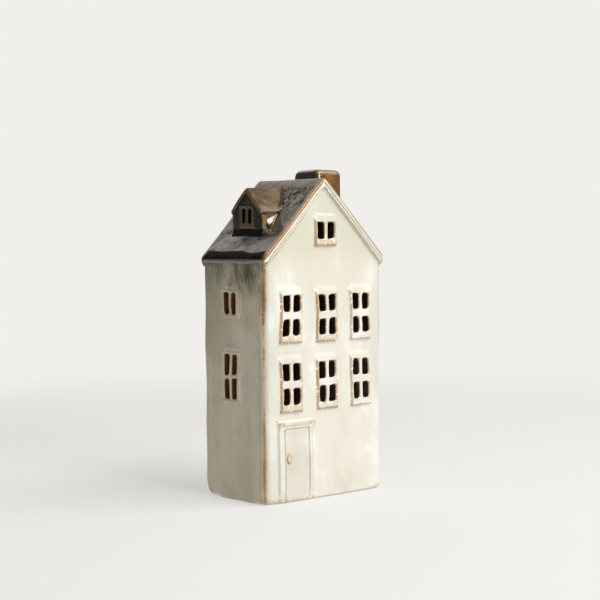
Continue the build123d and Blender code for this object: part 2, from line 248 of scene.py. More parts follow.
class Number:
    """A number that changes over a surface, with arithmetic that adds Math nodes."""

    def __init__(self, bench: "FinishBench", socket: bpy.types.NodeSocket) -> None:
        """Wrap an output socket of a bench's nodes."""
        self.bench = bench
        self.socket = socket

    def _math(self, operation: str, first: object, second: object) -> "Number":
        """Add one Math node."""
        return self.bench.number("ShaderNodeMath", {"operation": operation},
                                 {0: first, 1: second})

    def __add__(self, other: object) -> "Number":
        """Sum."""
        return self._math("ADD", self, other)

    __radd__ = __add__

    def __sub__(self, other: object) -> "Number":
        """Difference."""
        return self._math("SUBTRACT", self, other)

    def __rsub__(self, other: object) -> "Number":
        """Difference, from a plain number."""
        return self._math("SUBTRACT", other, self)

    def __mul__(self, other: object) -> "Number":
        """Product."""
        return self._math("MULTIPLY", self, other)

    __rmul__ = __mul__

    def __pow__(self, other: object) -> "Number":
        """Power."""
        return self._math("POWER", self, other)

    def at_least(self, other: object) -> "Number":
        """The larger of two numbers."""
        return self._math("MAXIMUM", self, other)

    def at_most(self, other: object) -> "Number":
        """The smaller of two numbers."""
        return self._math("MINIMUM", self, other)

    def size(self) -> "Number":
        """The number without its sign."""
        return self._math("ABSOLUTE", self, 0.0)

    def rise(self, low: float, high: float, start: float = 0.0, end: float = 1.0) -> "Number":
        """Turn the number into a soft step.

        Args:
            low: where the step starts.
            high: where the step ends.
            start: what the step gives before it.
            end: what the step gives after it.

        Returns:
            The stepped number.
        """
        return self.bench.number(
            "ShaderNodeMapRange", {"interpolation_type": "SMOOTHSTEP"},
            {"Value": self, "From Min": low, "From Max": high, "To Min": start, "To Max": end})


Colour = tuple[float, float, float]


def paint(red: int, green: int, blue: int) -> Colour:
    """Turn a colour as it shows on a screen, 0 to 255, into a linear one."""
    shares = (value / 255 for value in (red, green, blue))
    return tuple(s / 12.92 if s <= 0.04045 else ((s + 0.055) / 1.055) ** 2.4 for s in shares)


class FinishBench:
    """One material and the nodes that make it."""

    def __init__(self, name: str) -> None:
        """Start an empty material with a shader and an output."""
        self.material = bpy.data.materials.new(name)
        self.material.use_nodes = True
        self.tree = self.material.node_tree
        self.tree.nodes.clear()
        self.output = self.node("ShaderNodeOutputMaterial", {}, {})
        self.shader = self.node("ShaderNodeBsdfPrincipled", {}, {})
        self.join(self.output.inputs["Surface"], self.shader.outputs["BSDF"])
        self.places = self.node("ShaderNodeTexCoord", {}, {}).outputs["Object"]

    def join(self, target: bpy.types.NodeSocket, value: object) -> None:
        """Link or set one input socket.

        Args:
            target: the input.
            value: a Number, a socket, a plain number or a colour.
        """
        if isinstance(value, Number):
            value = value.socket
        if isinstance(value, bpy.types.NodeSocket):
            self.tree.links.new(target, value)
        elif target.type == "RGBA" and len(value) == 3:
            target.default_value = (*value, 1.0)
        else:
            target.default_value = value

    def node(self, kind: str, settings: dict[str, object],
             inputs: dict[object, object]) -> bpy.types.Node:
        """Add a node.

        Args:
            kind: the node's type.
            settings: its settings, set first.
            inputs: values or links for its sockets, by name or place.

        Returns:
            The node.
        """
        made = self.tree.nodes.new(kind)
        for name, value in settings.items():
            setattr(made, name, value)
        for name, value in inputs.items():
            self.join(made.inputs[name], value)
        return made

    def number(self, kind: str, settings: dict[str, object],
               inputs: dict[object, object]) -> Number:
        """Add a node and wrap its first output as a number."""
        return Number(self, self.node(kind, settings, inputs).outputs[0])

    def mark(self, name: str) -> Number:
        """Read a number that a piece's points carry."""
        made = self.node("ShaderNodeAttribute", {"attribute_name": name}, {})
        return Number(self, made.outputs["Fac"])

    def place(self) -> tuple[Number, Number, Number]:
        """The place on the object, in millimetres."""
        scaled = self.node("ShaderNodeVectorMath", {"operation": "SCALE"},
                           {0: self.places, "Scale": 1 / TO_METRES})
        parts = self.node("ShaderNodeSeparateXYZ", {}, {0: scaled.outputs[0]})
        return tuple(Number(self, output) for output in parts.outputs)

    def grain(self, wavelength: float, stretch: Colour = (1, 1, 1), detail: float = 3.0,
              roughness: float = 0.55, shift: float = 0.0, warp: float = 0.0) -> Number:
        """Add a cloudy pattern.

        Args:
            wavelength: the size of its patches in millimetres.
            stretch: how much the pattern is squeezed along each axis.
            detail: how many finer layers it has.
            roughness: how strong the finer layers are.
            shift: moves the pattern, so that two of them differ.
            warp: how much the pattern swirls.

        Returns:
            The pattern, about 0 to 1 around one half.
        """
        scale = 1 / (TO_METRES * wavelength)
        mapped = self.node("ShaderNodeMapping", {"vector_type": "POINT"},
                           {"Vector": self.places, "Location": (shift, shift, shift),
                            "Scale": tuple(scale * s for s in stretch)})
        return self.number("ShaderNodeTexNoise", {"noise_dimensions": "3D"},
                           {"Vector": mapped.outputs[0], "Scale": 1.0, "Detail": detail,
                            "Roughness": roughness, "Distortion": warp})

    def blend(self, share: object, first: object, second: object) -> bpy.types.NodeSocket:
        """Mix two colours.

        Args:
            share: how much of the second colour.
            first: the first colour.
            second: the second colour.

        Returns:
            The mixed colour.
        """
        made = self.node("ShaderNodeMix", {"data_type": "RGBA", "clamp_factor": True},
                         {0: share, 6: first, 7: second})
        return made.outputs[2]

    def coats(self, under: object, *coats: tuple[object, object]) -> object:
        """Lay colours over one another.

        Args:
            under: the colour below them all.
            coats: how much of a colour, and the colour, from the lowest coat up.

        Returns:
            The colour on top.
        """
        for share, colour in coats:
            under = self.blend(share, under, colour)
        return under

    def finish(self, colour: object, roughness: object, relief: Number | None = None,
               relief_height: float = 0.0,
               fixed: dict[str, object] | None = None) -> bpy.types.Material:
        """Join the colour, roughness and fine relief to the shader.

        Args:
            colour: the base colour.
            roughness: the roughness.
            relief: the pattern of the fine relief, if there is any.
            relief_height: the relief's height in millimetres.
            fixed: values of the shader's own inputs, by name.

        Returns:
            The finished material.
        """
        self.join(self.shader.inputs["Base Color"], colour)
        self.join(self.shader.inputs["Roughness"], roughness)
        if relief is not None:
            bump = self.node("ShaderNodeBump", {},
                             {"Height": relief, "Distance": relief_height * TO_METRES,
                              "Strength": 1.0})
            self.join(self.shader.inputs["Normal"], bump.outputs[0])
        for name, value in (fixed or {}).items():
            self.join(self.shader.inputs[name], value)
        return self.material


@dataclass(frozen=True)
class CreamGlaze:
    """Glossy cream glaze: white where it lies thick, tan where it runs thin over edges."""

    name: str = "cream_glaze"
    cream: Colour = paint(200, 195, 183)
    pale: Colour = paint(222, 220, 212)
    white: Colour = paint(246, 243, 236)
    sage: Colour = paint(178, 184, 172)
    rose: Colour = paint(192, 180, 164)
    tan: Colour = paint(176, 142, 98)
    rust: Colour = paint(134, 88, 36)
    burnt: Colour = paint(146, 92, 54)
    umber: Colour = paint(44, 24, 15)
    toasted: Colour = paint(112, 82, 58)
    moss: Colour = paint(32, 38, 33)
    teal: Colour = paint(78, 92, 82)
    # darker copies of the cream for the side walls: partly the glaze's own tone, partly painted
    # shade
    painted_shade_wall: Colour = paint(197, 184, 154)
    painted_shade_sage: Colour = paint(168, 165, 144)
    verge: Colour = paint(132, 92, 34)

    def material(self) -> bpy.types.Material:
        """Make the glaze."""
        bench = FinishBench(self.name)
        x, y, z = bench.place()
        runs = bench.grain(7.0, (1, 1, 0.16), 4.0)
        threads = bench.grain(1.5, (1, 1, 0.2), 4.0, 0.65, shift=7.0)
        clouds = bench.grain(32.0, (1, 1, 0.75), 3.0, shift=3.0)
        blots = bench.grain(9.0, (1, 1, 0.6), 4.0, shift=12.0)
        specks = bench.grain(0.9, detail=3.0, roughness=0.65, shift=1.0)
        flecks = bench.grain(2.1, detail=2.0, roughness=0.6, shift=30.0)
        thin, deep, pool = bench.mark("thin"), bench.mark("deep"), bench.mark("pool")
        side = x.size().rise(44.6, 46.3)

        # the side walls' glaze: darker and yellower, partly its own tone and partly painted shade
        painted_shade_sides = bench.coats(
            self.painted_shade_wall,
            ((runs * 0.4 + blots * 0.3 + clouds * 0.3).rise(0.42, 0.62) * 0.8, self.painted_shade_sage),
            (blots.rise(0.5, 0.75) * 0.3, self.rose),
            ((z + clouds * 30.0).rise(60, 75) * z.rise(120, 95) * y.rise(20.0, 8.0) * 0.25,
             self.cream))

        # the walls: dark hatching under the eaves, teal to the rear, cooler towards the corners
        rear = y.rise(6.0, 22.0) * z.rise(70.0, 125.0) * side * (0.2 + clouds * 1.4)
        hatch = bench.grain(0.8, (1, 1, 0.2), 3.0, 0.6, shift=15.0)
        under_eave = (z + (clouds - 0.5) * 14.0 + y.rise(24.0, -8.0, -4.0, 3.0)).rise(104, 138)
        under_eave = under_eave * (0.75 + (threads - 0.5) * 0.7 + (hatch - 0.5) * 0.9
                                   + (blots - 0.5) * 1.2)
        leaf = (x + 23.3).size().rise(9.6, 8.6) * z.rise(42.6, 41.6) * y.rise(-27.0, -28.0)
        near_corner = x.size().rise(33, 44) * (1 - side) * (0.3 + blots * 0.9)

        # thin places, and painted glints: white flecks on the window frames that stand in for
        # highlights
        uneven = (blots - 0.2) * 0.7 + specks * 0.5 + (flecks - 0.3) * 1.3
        glints = flecks * x.size().rise(42.0, 40.0) * z.rise(46.0, 52.0, 0.25, 1.0)

        # the gable bands, by how far down from the slope they lie
        down = (HOUSE.ridge - z - x.size() * HOUSE.slope) * (1 / HOUSE.stretch)
        groove = (down - 2.6).size().rise(0.7, 0.2) * y.size().rise(28.2, 28.5)
        seam = (down - 5.1).size().rise(0.8, 0.2) * y.size().rise(27.6, 27.8)
        lines = (groove + seam * 0.6) * (0.35 + blots * 0.7) * z.rise(134, 140)
        # painted highlight: a white strip along each band's outer face
        painted_band_highlight = down.rise(0.9, 1.2) * down.rise(2.3, 2.0) * y.size().rise(28.2, 28.5)
        crest = (z + x.size() * HOUSE.slope + (blots - 0.5) * 1.2).rise(
            HOUSE.ridge - 2.6, HOUSE.ridge - 1.6)
        crest = crest * z.rise(134, 140) * x.rise(10, -4, 0.6, 0.9) * y.rise(8.0, -8.0, 0.7, 1.0)

        # the rusty lines down the corners, broken in their middle
        corner = (x.size() - 43.2).at_most(y.size() - 23.3) - z.rise(133, 137) * 4.0
        broken = z.rise(40.0, 62.0) * z.rise(118.0, 98.0)
        wear = corner + (blots - 0.5) * 2.4 + (specks - 0.5) * 2.0 - broken * 0.9
        wear = wear + (flecks - 0.5) * broken * 2.2
        beside = x.size().rise(40.0, 41.0) * y.size().rise(22.0, 20.5)

        body = bench.coats(
            self.cream,
            (runs.rise(0.5, 0.78) * 0.3, self.sage),
            (clouds.rise(0.5, 0.7) * blots.rise(0.3, 0.7) * 0.6, self.rose),
            (clouds.rise(0.52, 0.34) * 0.8, self.pale),
            (blots.rise(0.55, 0.75) * 0.35, self.sage),
            (side * 0.92, painted_shade_sides),
            ((pool - specks * 0.4).rise(0.1, 0.8) * 0.75, self.pale),
            ((rear * 0.6).at_most(0.8), self.teal),
            (under_eave.rise(0.2, 1.1) * side * 0.94, self.moss),
            (blots.rise(0.35, 0.7) * threads.rise(0.4, 0.7) * side * 0.1, self.moss),
            (z.rise(130, 155) * (1 - side) * 0.65, self.sage),
            # the door's leaf a little darker and greyer, in the painted-shade sage
            (leaf * (0.1 + blots * 0.35), self.painted_shade_sage),
            # darker and yellower towards the gable's top, in the side walls' painted-shade colour
            (z.rise(118, 150) * (1 - side) * 0.3, self.painted_shade_wall),
            (near_corner * 0.6, self.sage),
            ((thin * (0.35 + uneven)).rise(0.22, 0.85) * 0.85, self.tan),
            ((thin * uneven).rise(0.4, 0.75) * 0.3, self.rust),
            # painted glints on the frames
            (thin.rise(0.1, 0.3) * glints.rise(0.57, 0.64) * 0.75, self.white),
            # the painted highlight, in full on the left slope and half on the right
            (painted_band_highlight * x.rise(6, -2, 0.5, 1.0), self.white),
            (lines * 0.8, self.verge),
            (crest, bench.blend(y.rise(-8.0, 8.0), self.verge, self.umber)),
            (corner.rise(0.0, 2.7) * 0.32, self.tan),
            (wear.rise(1.4, 2.9) * 0.9, self.rust),
            (wear.rise(1.5, 2.7) * broken * 0.35, self.umber),
            (z.rise(1.3, 0.1) * specks.rise(0.3, 0.6) * 0.8, self.rust),
            # inside the openings and the house: a burnt rim where the glaze breaks, then near-black
            # brown, partly the glaze's own and partly painted shade, a lighter brown in the side
            # windows
            (deep.rise(0.0, 0.22), self.burnt),
            (deep.rise(0.3, 0.85), bench.blend(beside, self.umber, self.toasted)))
        return bench.finish(
            body, threads.rise(0.3, 0.8, 0.08, 0.2) + deep * 0.4,
            runs * 0.9 + blots * 0.5 + threads * 0.12 + specks * 0.05
            + glints * thin.rise(0.15, 0.55) * 0.75, 0.4,
            {"Specular IOR Level": 0.55, "Coat Weight": 0.4 - deep * 0.35,
             "Coat Roughness": 0.04})


@dataclass(frozen=True)
class RoofGlaze:
    """Near-black brown glaze, thick and wet-looking, broken to olive at the gables."""

    name: str = "roof_glaze"
    black: Colour = paint(14, 12, 10)
    brown: Colour = paint(50, 38, 27)
    bronze: Colour = paint(82, 62, 42)
    olive: Colour = paint(106, 82, 42)
    amber: Colour = paint(96, 64, 22)
    ash: Colour = paint(128, 120, 102)

    def material(self) -> bpy.types.Material:
        """Make the glaze."""
        bench = FinishBench(self.name)
        x, y, z = bench.place()
        clouds = bench.grain(16.0, detail=4.0)
        mottle = bench.grain(2.6, (1, 1, 0.75), 5.0, 0.65, shift=4.0, warp=0.9)
        runs = bench.grain(3.0, (0.35, 1, 0.35), 3.0, shift=9.0)
        wrinkle = bench.grain(1.6, (0.8, 1, 0.8), 4.0, 0.7, shift=6.0, warp=2.0)
        thin, pool = bench.mark("thin"), bench.mark("pool")

        upper = z.rise(160.0, 174.0)
        crackle = mottle.rise(0.44, 0.52) * upper * (z + clouds * 5.0).rise(184.5, 182.8)
        beside = ((x + 26.5).size() * 0.19 + (y + 14.6).size() * 0.24 + mottle * 0.9).rise(1.5, 1.2)
        # a black band above the eaves, black and metallic: partly dark pooled glaze, partly a
        # painted dark reflection
        swell = bench.grain(13.0, (0.2, 1, 0.2), 0.6, shift=21.0)
        rim = (z + (swell - 0.5) * 4.5).rise(144.0, 143.3) * z.rise(138.6, 140.2)
        gable = (y.size() + (mottle - 0.5) * 3.0).rise(24.8, 26.8)
        body = bench.coats(
            self.brown,
            (mottle.rise(0.45, 0.65) * 0.6, self.bronze),
            (clouds.rise(0.4, 0.6) * 0.8, self.black),
            (upper * 0.85, self.bronze),
            (crackle * 0.95, self.black),
            (beside * 0.9, self.amber),
            (rim, self.black),
            (pool * 0.9, self.black),
            (gable * y.rise(8.0, -8.0, 0.2, 0.9), self.olive),
            (z.rise(139.8, 138.6) * 0.8, self.ash),
            ((thin * (mottle + 0.35)).rise(0.5, 0.95) * 0.5, self.olive))
        rough_patch = clouds.rise(0.5, 0.62)
        height = mottle * (0.2 + rough_patch * 0.2) + clouds * 1.6 + runs * 0.25
        below = ((x + 37.0).size() * 0.3 + (y + 5.0).size() * 0.11 + clouds * 0.5).rise(1.4, 0.9)
        height = height + wrinkle * (rough_patch * 0.2 + below * 1.6)
        gloss = mottle.rise(0.35, 0.75, 0.1, 0.26) + rim * 0.45 + upper * 0.1
        return bench.finish(body, gloss, height, 0.7,
                            {"Specular IOR Level": 0.6,
                             "Metallic": (rim + crackle * 0.95).at_most(0.97),
                             "Coat Weight": (0.5 - rim * 0.47 - upper * 0.28 - crackle * 0.2
                                             - beside * 0.4).at_least(0.0),
                             "Coat Roughness": 0.05})


@dataclass(frozen=True)
class AmberGlaze:
    """Olive and amber glaze of the dormer and the chimney, dark where it pools."""

    name: str = "amber_glaze"
    amber: Colour = paint(130, 92, 24)
    olive: Colour = paint(102, 84, 54)
    dark: Colour = paint(20, 17, 15)
    bronze: Colour = paint(74, 56, 32)
    tan: Colour = paint(140, 114, 78)
    smoke: Colour = paint(86, 68, 46)
    ember: Colour = paint(70, 34, 18)

    def material(self) -> bpy.types.Material:
        """Make the glaze."""
        bench = FinishBench(self.name)
        x, y, z = bench.place()
        clouds = bench.grain(11.0, detail=4.0, shift=2.0)
        mottle = bench.grain(2.6, detail=4.0, roughness=0.6, shift=5.0)
        thin, pool, deep = bench.mark("thin"), bench.mark("pool"), bench.mark("deep")

        cheek = z.rise(168.5, 166.0) * x.rise(-33.2, -31.8) * x.rise(0.0, -2.0) * 0.95
        warm = bench.coats(
            self.amber,
            ((clouds + mottle * 0.5 - 0.25).rise(0.25, 0.75), self.bronze),
            (x.rise(17.0, 27.0) * (0.3 + mottle) * y.rise(-9.0, -13.0), self.bronze))

        # the dormer's face, the front of its frame, its foot and its roof's eaves
        from_ridge = (y - DORMER.shift).size()
        face = x.rise(-32.0, -33.2) * (z + from_ridge * DORMER.slope).rise(
            DORMER.crown - 2.8, DORMER.crown - 3.4)
        frame_front = face * x.rise(-33.75, -34.0)
        foot = (z - mottle * 2.4).rise(155.9, 155.2) * x.rise(-30.5, -33.0)
        low = (z + x * HOUSE.slope * -1 - HOUSE.ridge + mottle * 1.5).rise(3.2, 1.8)
        low = low * x.rise(-32.5, -31.0) * x.rise(0.0, -8.0)
        eaves = from_ridge.rise(11.4, 12.2) * z.rise(162.5, 164.5) * x.rise(0.0, -3.0)
        worn = thin * (mottle + 0.4) * (1 - cheek * 0.8) * (1 - frame_front * 0.6)

        # the chimney's right and upper edges
        edge = x.rise(26.4, 27.6).at_least(z.rise(189.8, 191.2) * x.rise(9.0, 11.0))
        body = bench.coats(
            self.olive,
            (clouds.rise(0.38, 0.62), self.bronze),
            (mottle.rise(0.5, 0.7) * 0.3, self.tan),
            ((x.rise(7.0, 9.5) + cheek).at_most(1.0), warm),
            # the chimney's left face near-black: partly a darker glaze, partly painted shade
            (x.rise(9.6, 7.9) * x.rise(5.0, 7.0), self.dark),
            (face * (0.6 + mottle.rise(0.4, 0.6) * 0.35), self.dark),
            (frame_front * 0.85, self.smoke),
            (foot, self.dark),
            (low * 0.85, self.dark),
            (pool * 0.9, self.dark),
            (worn.rise(0.3, 0.9) * 0.8, self.tan),
            (eaves * 0.8, self.bronze),
            (edge * y.rise(-8.5, -11.0) * (0.4 + mottle * 0.8), self.tan),
            (deep.rise(0.0, 0.3), self.ember),
            (deep.rise(0.35, 0.8), self.dark))
        face = (face - frame_front * 0.8).at_least(foot)
        dull = eaves + z.rise(187.5, 189.5) * x.rise(9.5, 11.5) * y.rise(-8.0, -10.0)
        return bench.finish(body, mottle.rise(0.3, 0.8, 0.07, 0.2) + deep * 0.2 + dull * 0.3,
                            clouds * 1.2 + mottle * (0.3 + face * 0.9 - x.rise(5, 7) * 0.15), 0.6,
                            {"Specular IOR Level": 0.6, "Metallic": foot * 0.4 + face * 0.55,
                             "Coat Weight": (0.5 - foot * 0.2 - face * 0.25
                                             - dull * 0.5).at_least(0.0),
                             "Coat Roughness": 0.04})


@dataclass(frozen=True)
class BareClay:
    """Bare fired clay of the floor inside, speckled and a little sooty."""

    name: str = "bare_clay"
    clay: Colour = paint(172, 142, 112)
    cloud: Colour = paint(140, 110, 84)
    speck: Colour = paint(92, 66, 46)

    def material(self) -> bpy.types.Material:
        """Make the finish."""
        bench = FinishBench(self.name)
        grit, clouds = bench.grain(0.8, detail=3.0), bench.grain(18.0, shift=2.0)
        body = bench.coats(self.clay, (clouds.rise(0.4, 0.7) * 0.4, self.cloud),
                           (grit.rise(0.6, 0.7) * 0.7, self.speck))
        return bench.finish(body, 0.82, grit, 0.15)


@dataclass(frozen=True)
class PressedMetal:
    """Thin bright metal with fine press lines."""

    name: str
    colour: Colour
    roughness: float

    def material(self) -> bpy.types.Material:
        """Make the finish."""
        bench = FinishBench(self.name)
        lines = bench.grain(0.5, (1, 1, 0.08), 2.0)
        dents = bench.grain(6.0, shift=3.0)
        body = bench.blend(dents.rise(0.35, 0.7) * 0.3, self.colour,
                           tuple(0.8 * part for part in self.colour))
        return bench.finish(body, lines.rise(0.2, 0.8, self.roughness, self.roughness + 0.15),
                            lines * 0.4 + dents, 0.05, {"Metallic": 1.0})


@dataclass(frozen=True)
class CandleWax:
    """White paraffin with a faint bloom."""

    name: str = "candle_wax"
    white: Colour = paint(238, 236, 228)
    bloom: Colour = paint(226, 222, 208)

    def material(self) -> bpy.types.Material:
        """Make the finish."""
        bench = FinishBench(self.name)
        bloom = bench.grain(3.0, detail=4.0)
        body = bench.blend(bloom.rise(0.4, 0.75) * 0.4, self.white, self.bloom)
        return bench.finish(body, bloom.rise(0.3, 0.7, 0.38, 0.55), bloom, 0.08)


@dataclass(frozen=True)
class WickCotton:
    """Waxed cotton braid."""

    name: str = "wick_cotton"
    pale: Colour = paint(232, 228, 214)
    dark: Colour = paint(198, 190, 170)
    tip: Colour = paint(236, 234, 226)

    def material(self) -> bpy.types.Material:
        """Make the finish."""
        bench = FinishBench(self.name)
        _, _, z = bench.place()
        braid = bench.grain(0.5, (1, 1, 0.6), 2.0)
        body = bench.coats(self.pale, (braid.rise(0.4, 0.6), self.dark),
                           (z.rise(22.0, 24.5), self.tip))
        return bench.finish(body, 0.75, braid, 0.12)


@dataclass(frozen=True)
class StudioPaper:
    """Pale studio paper that fades into the light behind it."""

    name: str = "studio_paper"
    colour: Colour = (0.26, 0.2575, 0.25)
    glow: Colour = paint(240, 239, 235)

    def material(self) -> bpy.types.Material:
        """Make the finish."""
        bench = FinishBench(self.name)
        x, y, _ = bench.place()
        grain = bench.grain(60.0, detail=1.0)
        body = bench.blend(grain * 0.3, self.colour, tuple(0.98 * c for c in self.colour))
        bench.finish(body, 0.9, fixed={"Specular IOR Level": 0.1, "Emission Color": self.glow,
                                       "Emission Strength": 0.59})
        light = bench.node("ShaderNodeEmission", {}, {"Color": self.glow, "Strength": 1.0})
        far = (x * x + y * y) ** 0.5
        mix = bench.node("ShaderNodeMixShader", {}, {0: far.rise(300, 900),
                                                     1: bench.shader.outputs[0],
                                                     2: light.outputs[0]})
        bench.join(bench.output.inputs["Surface"], mix.outputs[0])
        return bench.material


# ---------------------------------------------------------------- modelling


class Body(Enum):
    """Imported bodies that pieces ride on."""

    HOUSE = "house"
    TEALIGHT = "tealight"


@dataclass(frozen=True)
class Label:
    """What a finished piece is called, what it rides on and what it stands for."""

    name: str
    slot: str
    body: Body = Body.HOUSE

    @property
    def nodes(self) -> tuple[str, ...]:
        """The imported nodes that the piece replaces."""
        return (self.name,)


class Face(Enum):
    """Outer faces of the house, as the way from across, up and outwards to a place."""

    FRONT = "front"
    BACK = "back"
    LEFT = "left"
    RIGHT = "right"
    DORMER = "dormer"

    def places(self, across: Points, up: Points, out: Points,
               turned: Points | float = 0.0) -> Points:
        """Place points on the face.

        Args:
            across: places across the face, to the right as seen from outside.
            up: heights.
            out: distances outwards from the face.
            turned: how far the skin has turned round a corner, in radians.

        Returns:
            The places, one to a row.
        """
        if self is not Face.DORMER:
            span = HOUSE.half_depth if self in (Face.LEFT, Face.RIGHT) else HOUSE.half_width
            drawn = HOUSE.foot_round(up, span - np.abs(across))
            across = across - np.sign(across) * np.sin(turned) * drawn
            out = out - np.cos(turned) * drawn
        if self is Face.FRONT:
            parts = across, -HOUSE.half_depth - out, up
        elif self is Face.BACK:
            parts = -across, HOUSE.half_depth + out, up
        elif self is Face.LEFT:
            parts = -HOUSE.half_width - out, -across, up
        elif self is Face.RIGHT:
            parts = HOUSE.half_width + out, across, up
        else:
            parts = -DORMER.reach - out, DORMER.shift - across, up
        return np.stack(np.broadcast_arrays(*parts), axis=1)


class Sheet:
    """A flat net of clay that is cut, thickened and then bent into place.

    While it is flat, x runs across, y up, and z from 0 on the outer skin to -1 on the inner.
    """

    on_cut: float = 1e-4

    def __init__(self, across: Lines, up: Lines) -> None:
        """Lay the net over the given lines."""
        self.bm = bmesh.new()
        bmesh.ops.create_grid(self.bm, x_segments=len(across) - 1, y_segments=len(up) - 1,
                              size=1)
        for vert in self.bm.verts:
            column = round((vert.co.x + 1) / 2 * (len(across) - 1))
            row = round((vert.co.y + 1) / 2 * (len(up) - 1))
            vert.co = (across[column], up[row], 0)

    def flat(self) -> Points:
        """The net's points while it is flat."""
        return np.array([vert.co for vert in self.bm.verts], float).reshape(-1, 3)

    def open(self, inside: Callable[[Vector], bool]) -> "Sheet":
        """Cut out the cells whose middle is inside."""
        cells = [f for f in self.bm.faces if inside(f.calc_center_median())]
        bmesh.ops.delete(self.bm, geom=cells, context="FACES")
        return self

    def trim(self, point: Sequence[float], outwards: Sequence[float]) -> "Sheet":
        """Cut the net off along a line."""
        everything = [*self.bm.verts, *self.bm.edges, *self.bm.faces]
        bmesh.ops.bisect_plane(self.bm, geom=everything, dist=self.on_cut,
                               plane_co=(*point, 0), plane_no=(*outwards, 0),
                               clear_outer=True)
        return self

    def thicken(self, rows: int) -> "Sheet":
        """Give the net its inner skin, with rows of cells along its rims."""
        bmesh.ops.solidify(self.bm, geom=self.bm.faces[:], thickness=1.0)
        through = [e for e in self.bm.edges if abs(e.verts[0].co.z - e.verts[1].co.z) > 0.5]
        if rows > 1:
            bmesh.ops.subdivide_edges(self.bm, edges=through, cuts=rows - 1,
                                      use_grid_fill=True)
        return self

    def place(self, where: Callable[[Points, Points, Points], Points]) -> "Sheet":
        """Bend the net into place.

        Args:
            where: gives the places for points across, up, and from outer skin to inner.

        Returns:
            The sheet.
        """
        flat = self.flat()
        for vert, point in zip(self.bm.verts, where(flat[:, 0], flat[:, 1], -flat[:, 2])):
            vert.co = point
        return self


@dataclass
class Workshop:
    """Turns shaped nets into finished, glazed and named pieces."""

    drift: HandDrift = field(default_factory=HandDrift)
    sharp_angle: float = math.radians(50)
    shortest: float = 0.12
    smoothings: int = 4
    full_thin: float = 0.5
    full_pool: float = 0.35
    finishes: dict[str, bpy.types.Material] = field(default_factory=dict)

    def finish(self, bm: bmesh.types.BMesh, label: Label, finish: object,
               deep: Callable[[Points], Points] | None = None,
               bare: Callable[[Points], Points] | None = None,
               worn: float = 1.0, drifts: bool = True) -> None:
        """Turn a net into a piece of the model.

        Args:
            bm: the shaped net, in millimetres.
            label: the piece's name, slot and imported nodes.
            finish: the finish that dresses it.
            deep: how far inside an opening places are, as a share.
            bare: how thin the glaze lies beside what the curving edges give.
            worn: how much its curving edges thin the glaze.
            drifts: whether the piece is as uneven as hand-made clay.
        """
        bmesh.ops.remove_doubles(bm, verts=bm.verts[:], dist=WELD)
        bmesh.ops.recalc_face_normals(bm, faces=bm.faces[:])
        points = np.array([vert.co for vert in bm.verts], float).reshape(-1, 3)
        inside = deep(points) if deep else np.zeros(len(points))
        thinned = bare(points) if bare else np.zeros(len(points))
        if drifts:
            points = points + self.drift.at(points)
        low, high = (np.array(corner) / TO_METRES for corner in CAD_BOX)
        points = np.clip(points, low, high) * TO_METRES
        for vert, point in zip(bm.verts, points):
            vert.co = point
        for edge in bm.edges:
            edge.smooth = not edge.is_manifold or edge.calc_face_angle(0) < self.sharp_angle
        for cell in bm.faces:
            cell.smooth = True
        mesh = bpy.data.meshes.new(label.name)
        bm.to_mesh(mesh)
        bm.free()
        self.mark_glaze(mesh, inside, thinned, worn)
        self.publish(mesh, label, finish)

    def publish(self, mesh: bpy.types.Mesh, label: Label, finish: object) -> None:
        """Put a finished mesh in the scene under its label.

        Args:
            mesh: the mesh, in metres.
            label: the piece's name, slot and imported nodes.
            finish: the finish that dresses it.
        """
        piece = bpy.data.objects.new(label.name, mesh)
        bpy.context.scene.collection.objects.link(piece)
        mesh.materials.append(self.dress(finish))
        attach(piece, label.body.value)
        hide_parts(*label.nodes)
        LOG.info("%s: %d faces", label.name, len(mesh.polygons))

    def dress(self, finish: object) -> bpy.types.Material:
        """Make a finish once and give it to every piece that wears it."""
        if finish.name not in self.finishes:
            self.finishes[finish.name] = finish.material()
        return self.finishes[finish.name]

    def dress_packed(self, node: str, finish: object) -> None:
        """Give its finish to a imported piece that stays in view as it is."""
        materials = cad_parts[node].data.materials
        materials.clear()
        materials.append(self.dress(finish))

    def mark_glaze(self, mesh: bpy.types.Mesh, inside: Points, thinned: Points,
                   worn: float) -> None:
        """Mark where glaze runs thin over edges, gathers in hollows, or lies inside.

        Args:
            mesh: the piece's mesh, in metres.
            inside: how far inside each point is, as a share.
            thinned: how thin the glaze lies there beside what the bends give.
            worn: how much the bends thin it.
        """
        count = len(mesh.vertices)
        places, normals = np.empty(count * 3), np.empty(count * 3)
        mesh.vertices.foreach_get("co", places)
        mesh.vertices.foreach_get("normal", normals)
        places = places.reshape(-1, 3) / TO_METRES
        normals = normals.reshape(-1, 3)
        ends = np.empty(len(mesh.edges) * 2, np.int64)
        mesh.edges.foreach_get("vertices", ends)
        first, second = ends.reshape(-1, 2).T
        along = places[second] - places[first]
        length = np.maximum(np.linalg.norm(along, axis=1), self.shortest)
        bend_first = -2 * (normals[first] * along).sum(1) / length**2
        bend_second = 2 * (normals[second] * along).sum(1) / length**2
        weights = np.bincount(first, length, count) + np.bincount(second, length, count)
        weights = np.maximum(weights, 1e-6)
        bend = np.bincount(first, bend_first * length, count)
        bend += np.bincount(second, bend_second * length, count)
        bend /= weights
        for _ in range(self.smoothings):
            spread = np.bincount(first, bend[second] * length, count)
            spread += np.bincount(second, bend[first] * length, count)
            bend = 0.5 * bend + 0.5 * spread / weights
        bend *= 1 - 0.8 * np.clip(normals[:, 2], 0, 1) * (np.abs(normals[:, 1]) > 0.2)
        marks = {"thin": np.clip(worn * bend / self.full_thin + thinned, 0, 1),
                 "pool": np.clip(-bend / self.full_pool, 0, 1), "deep": np.clip(inside, 0, 1)}
        for name, values in marks.items():
            attribute = mesh.attributes.new(name, "FLOAT", "POINT")
            attribute.data.foreach_set("value", values.astype(np.float32))


# ---------------------------------------------------------------- windows


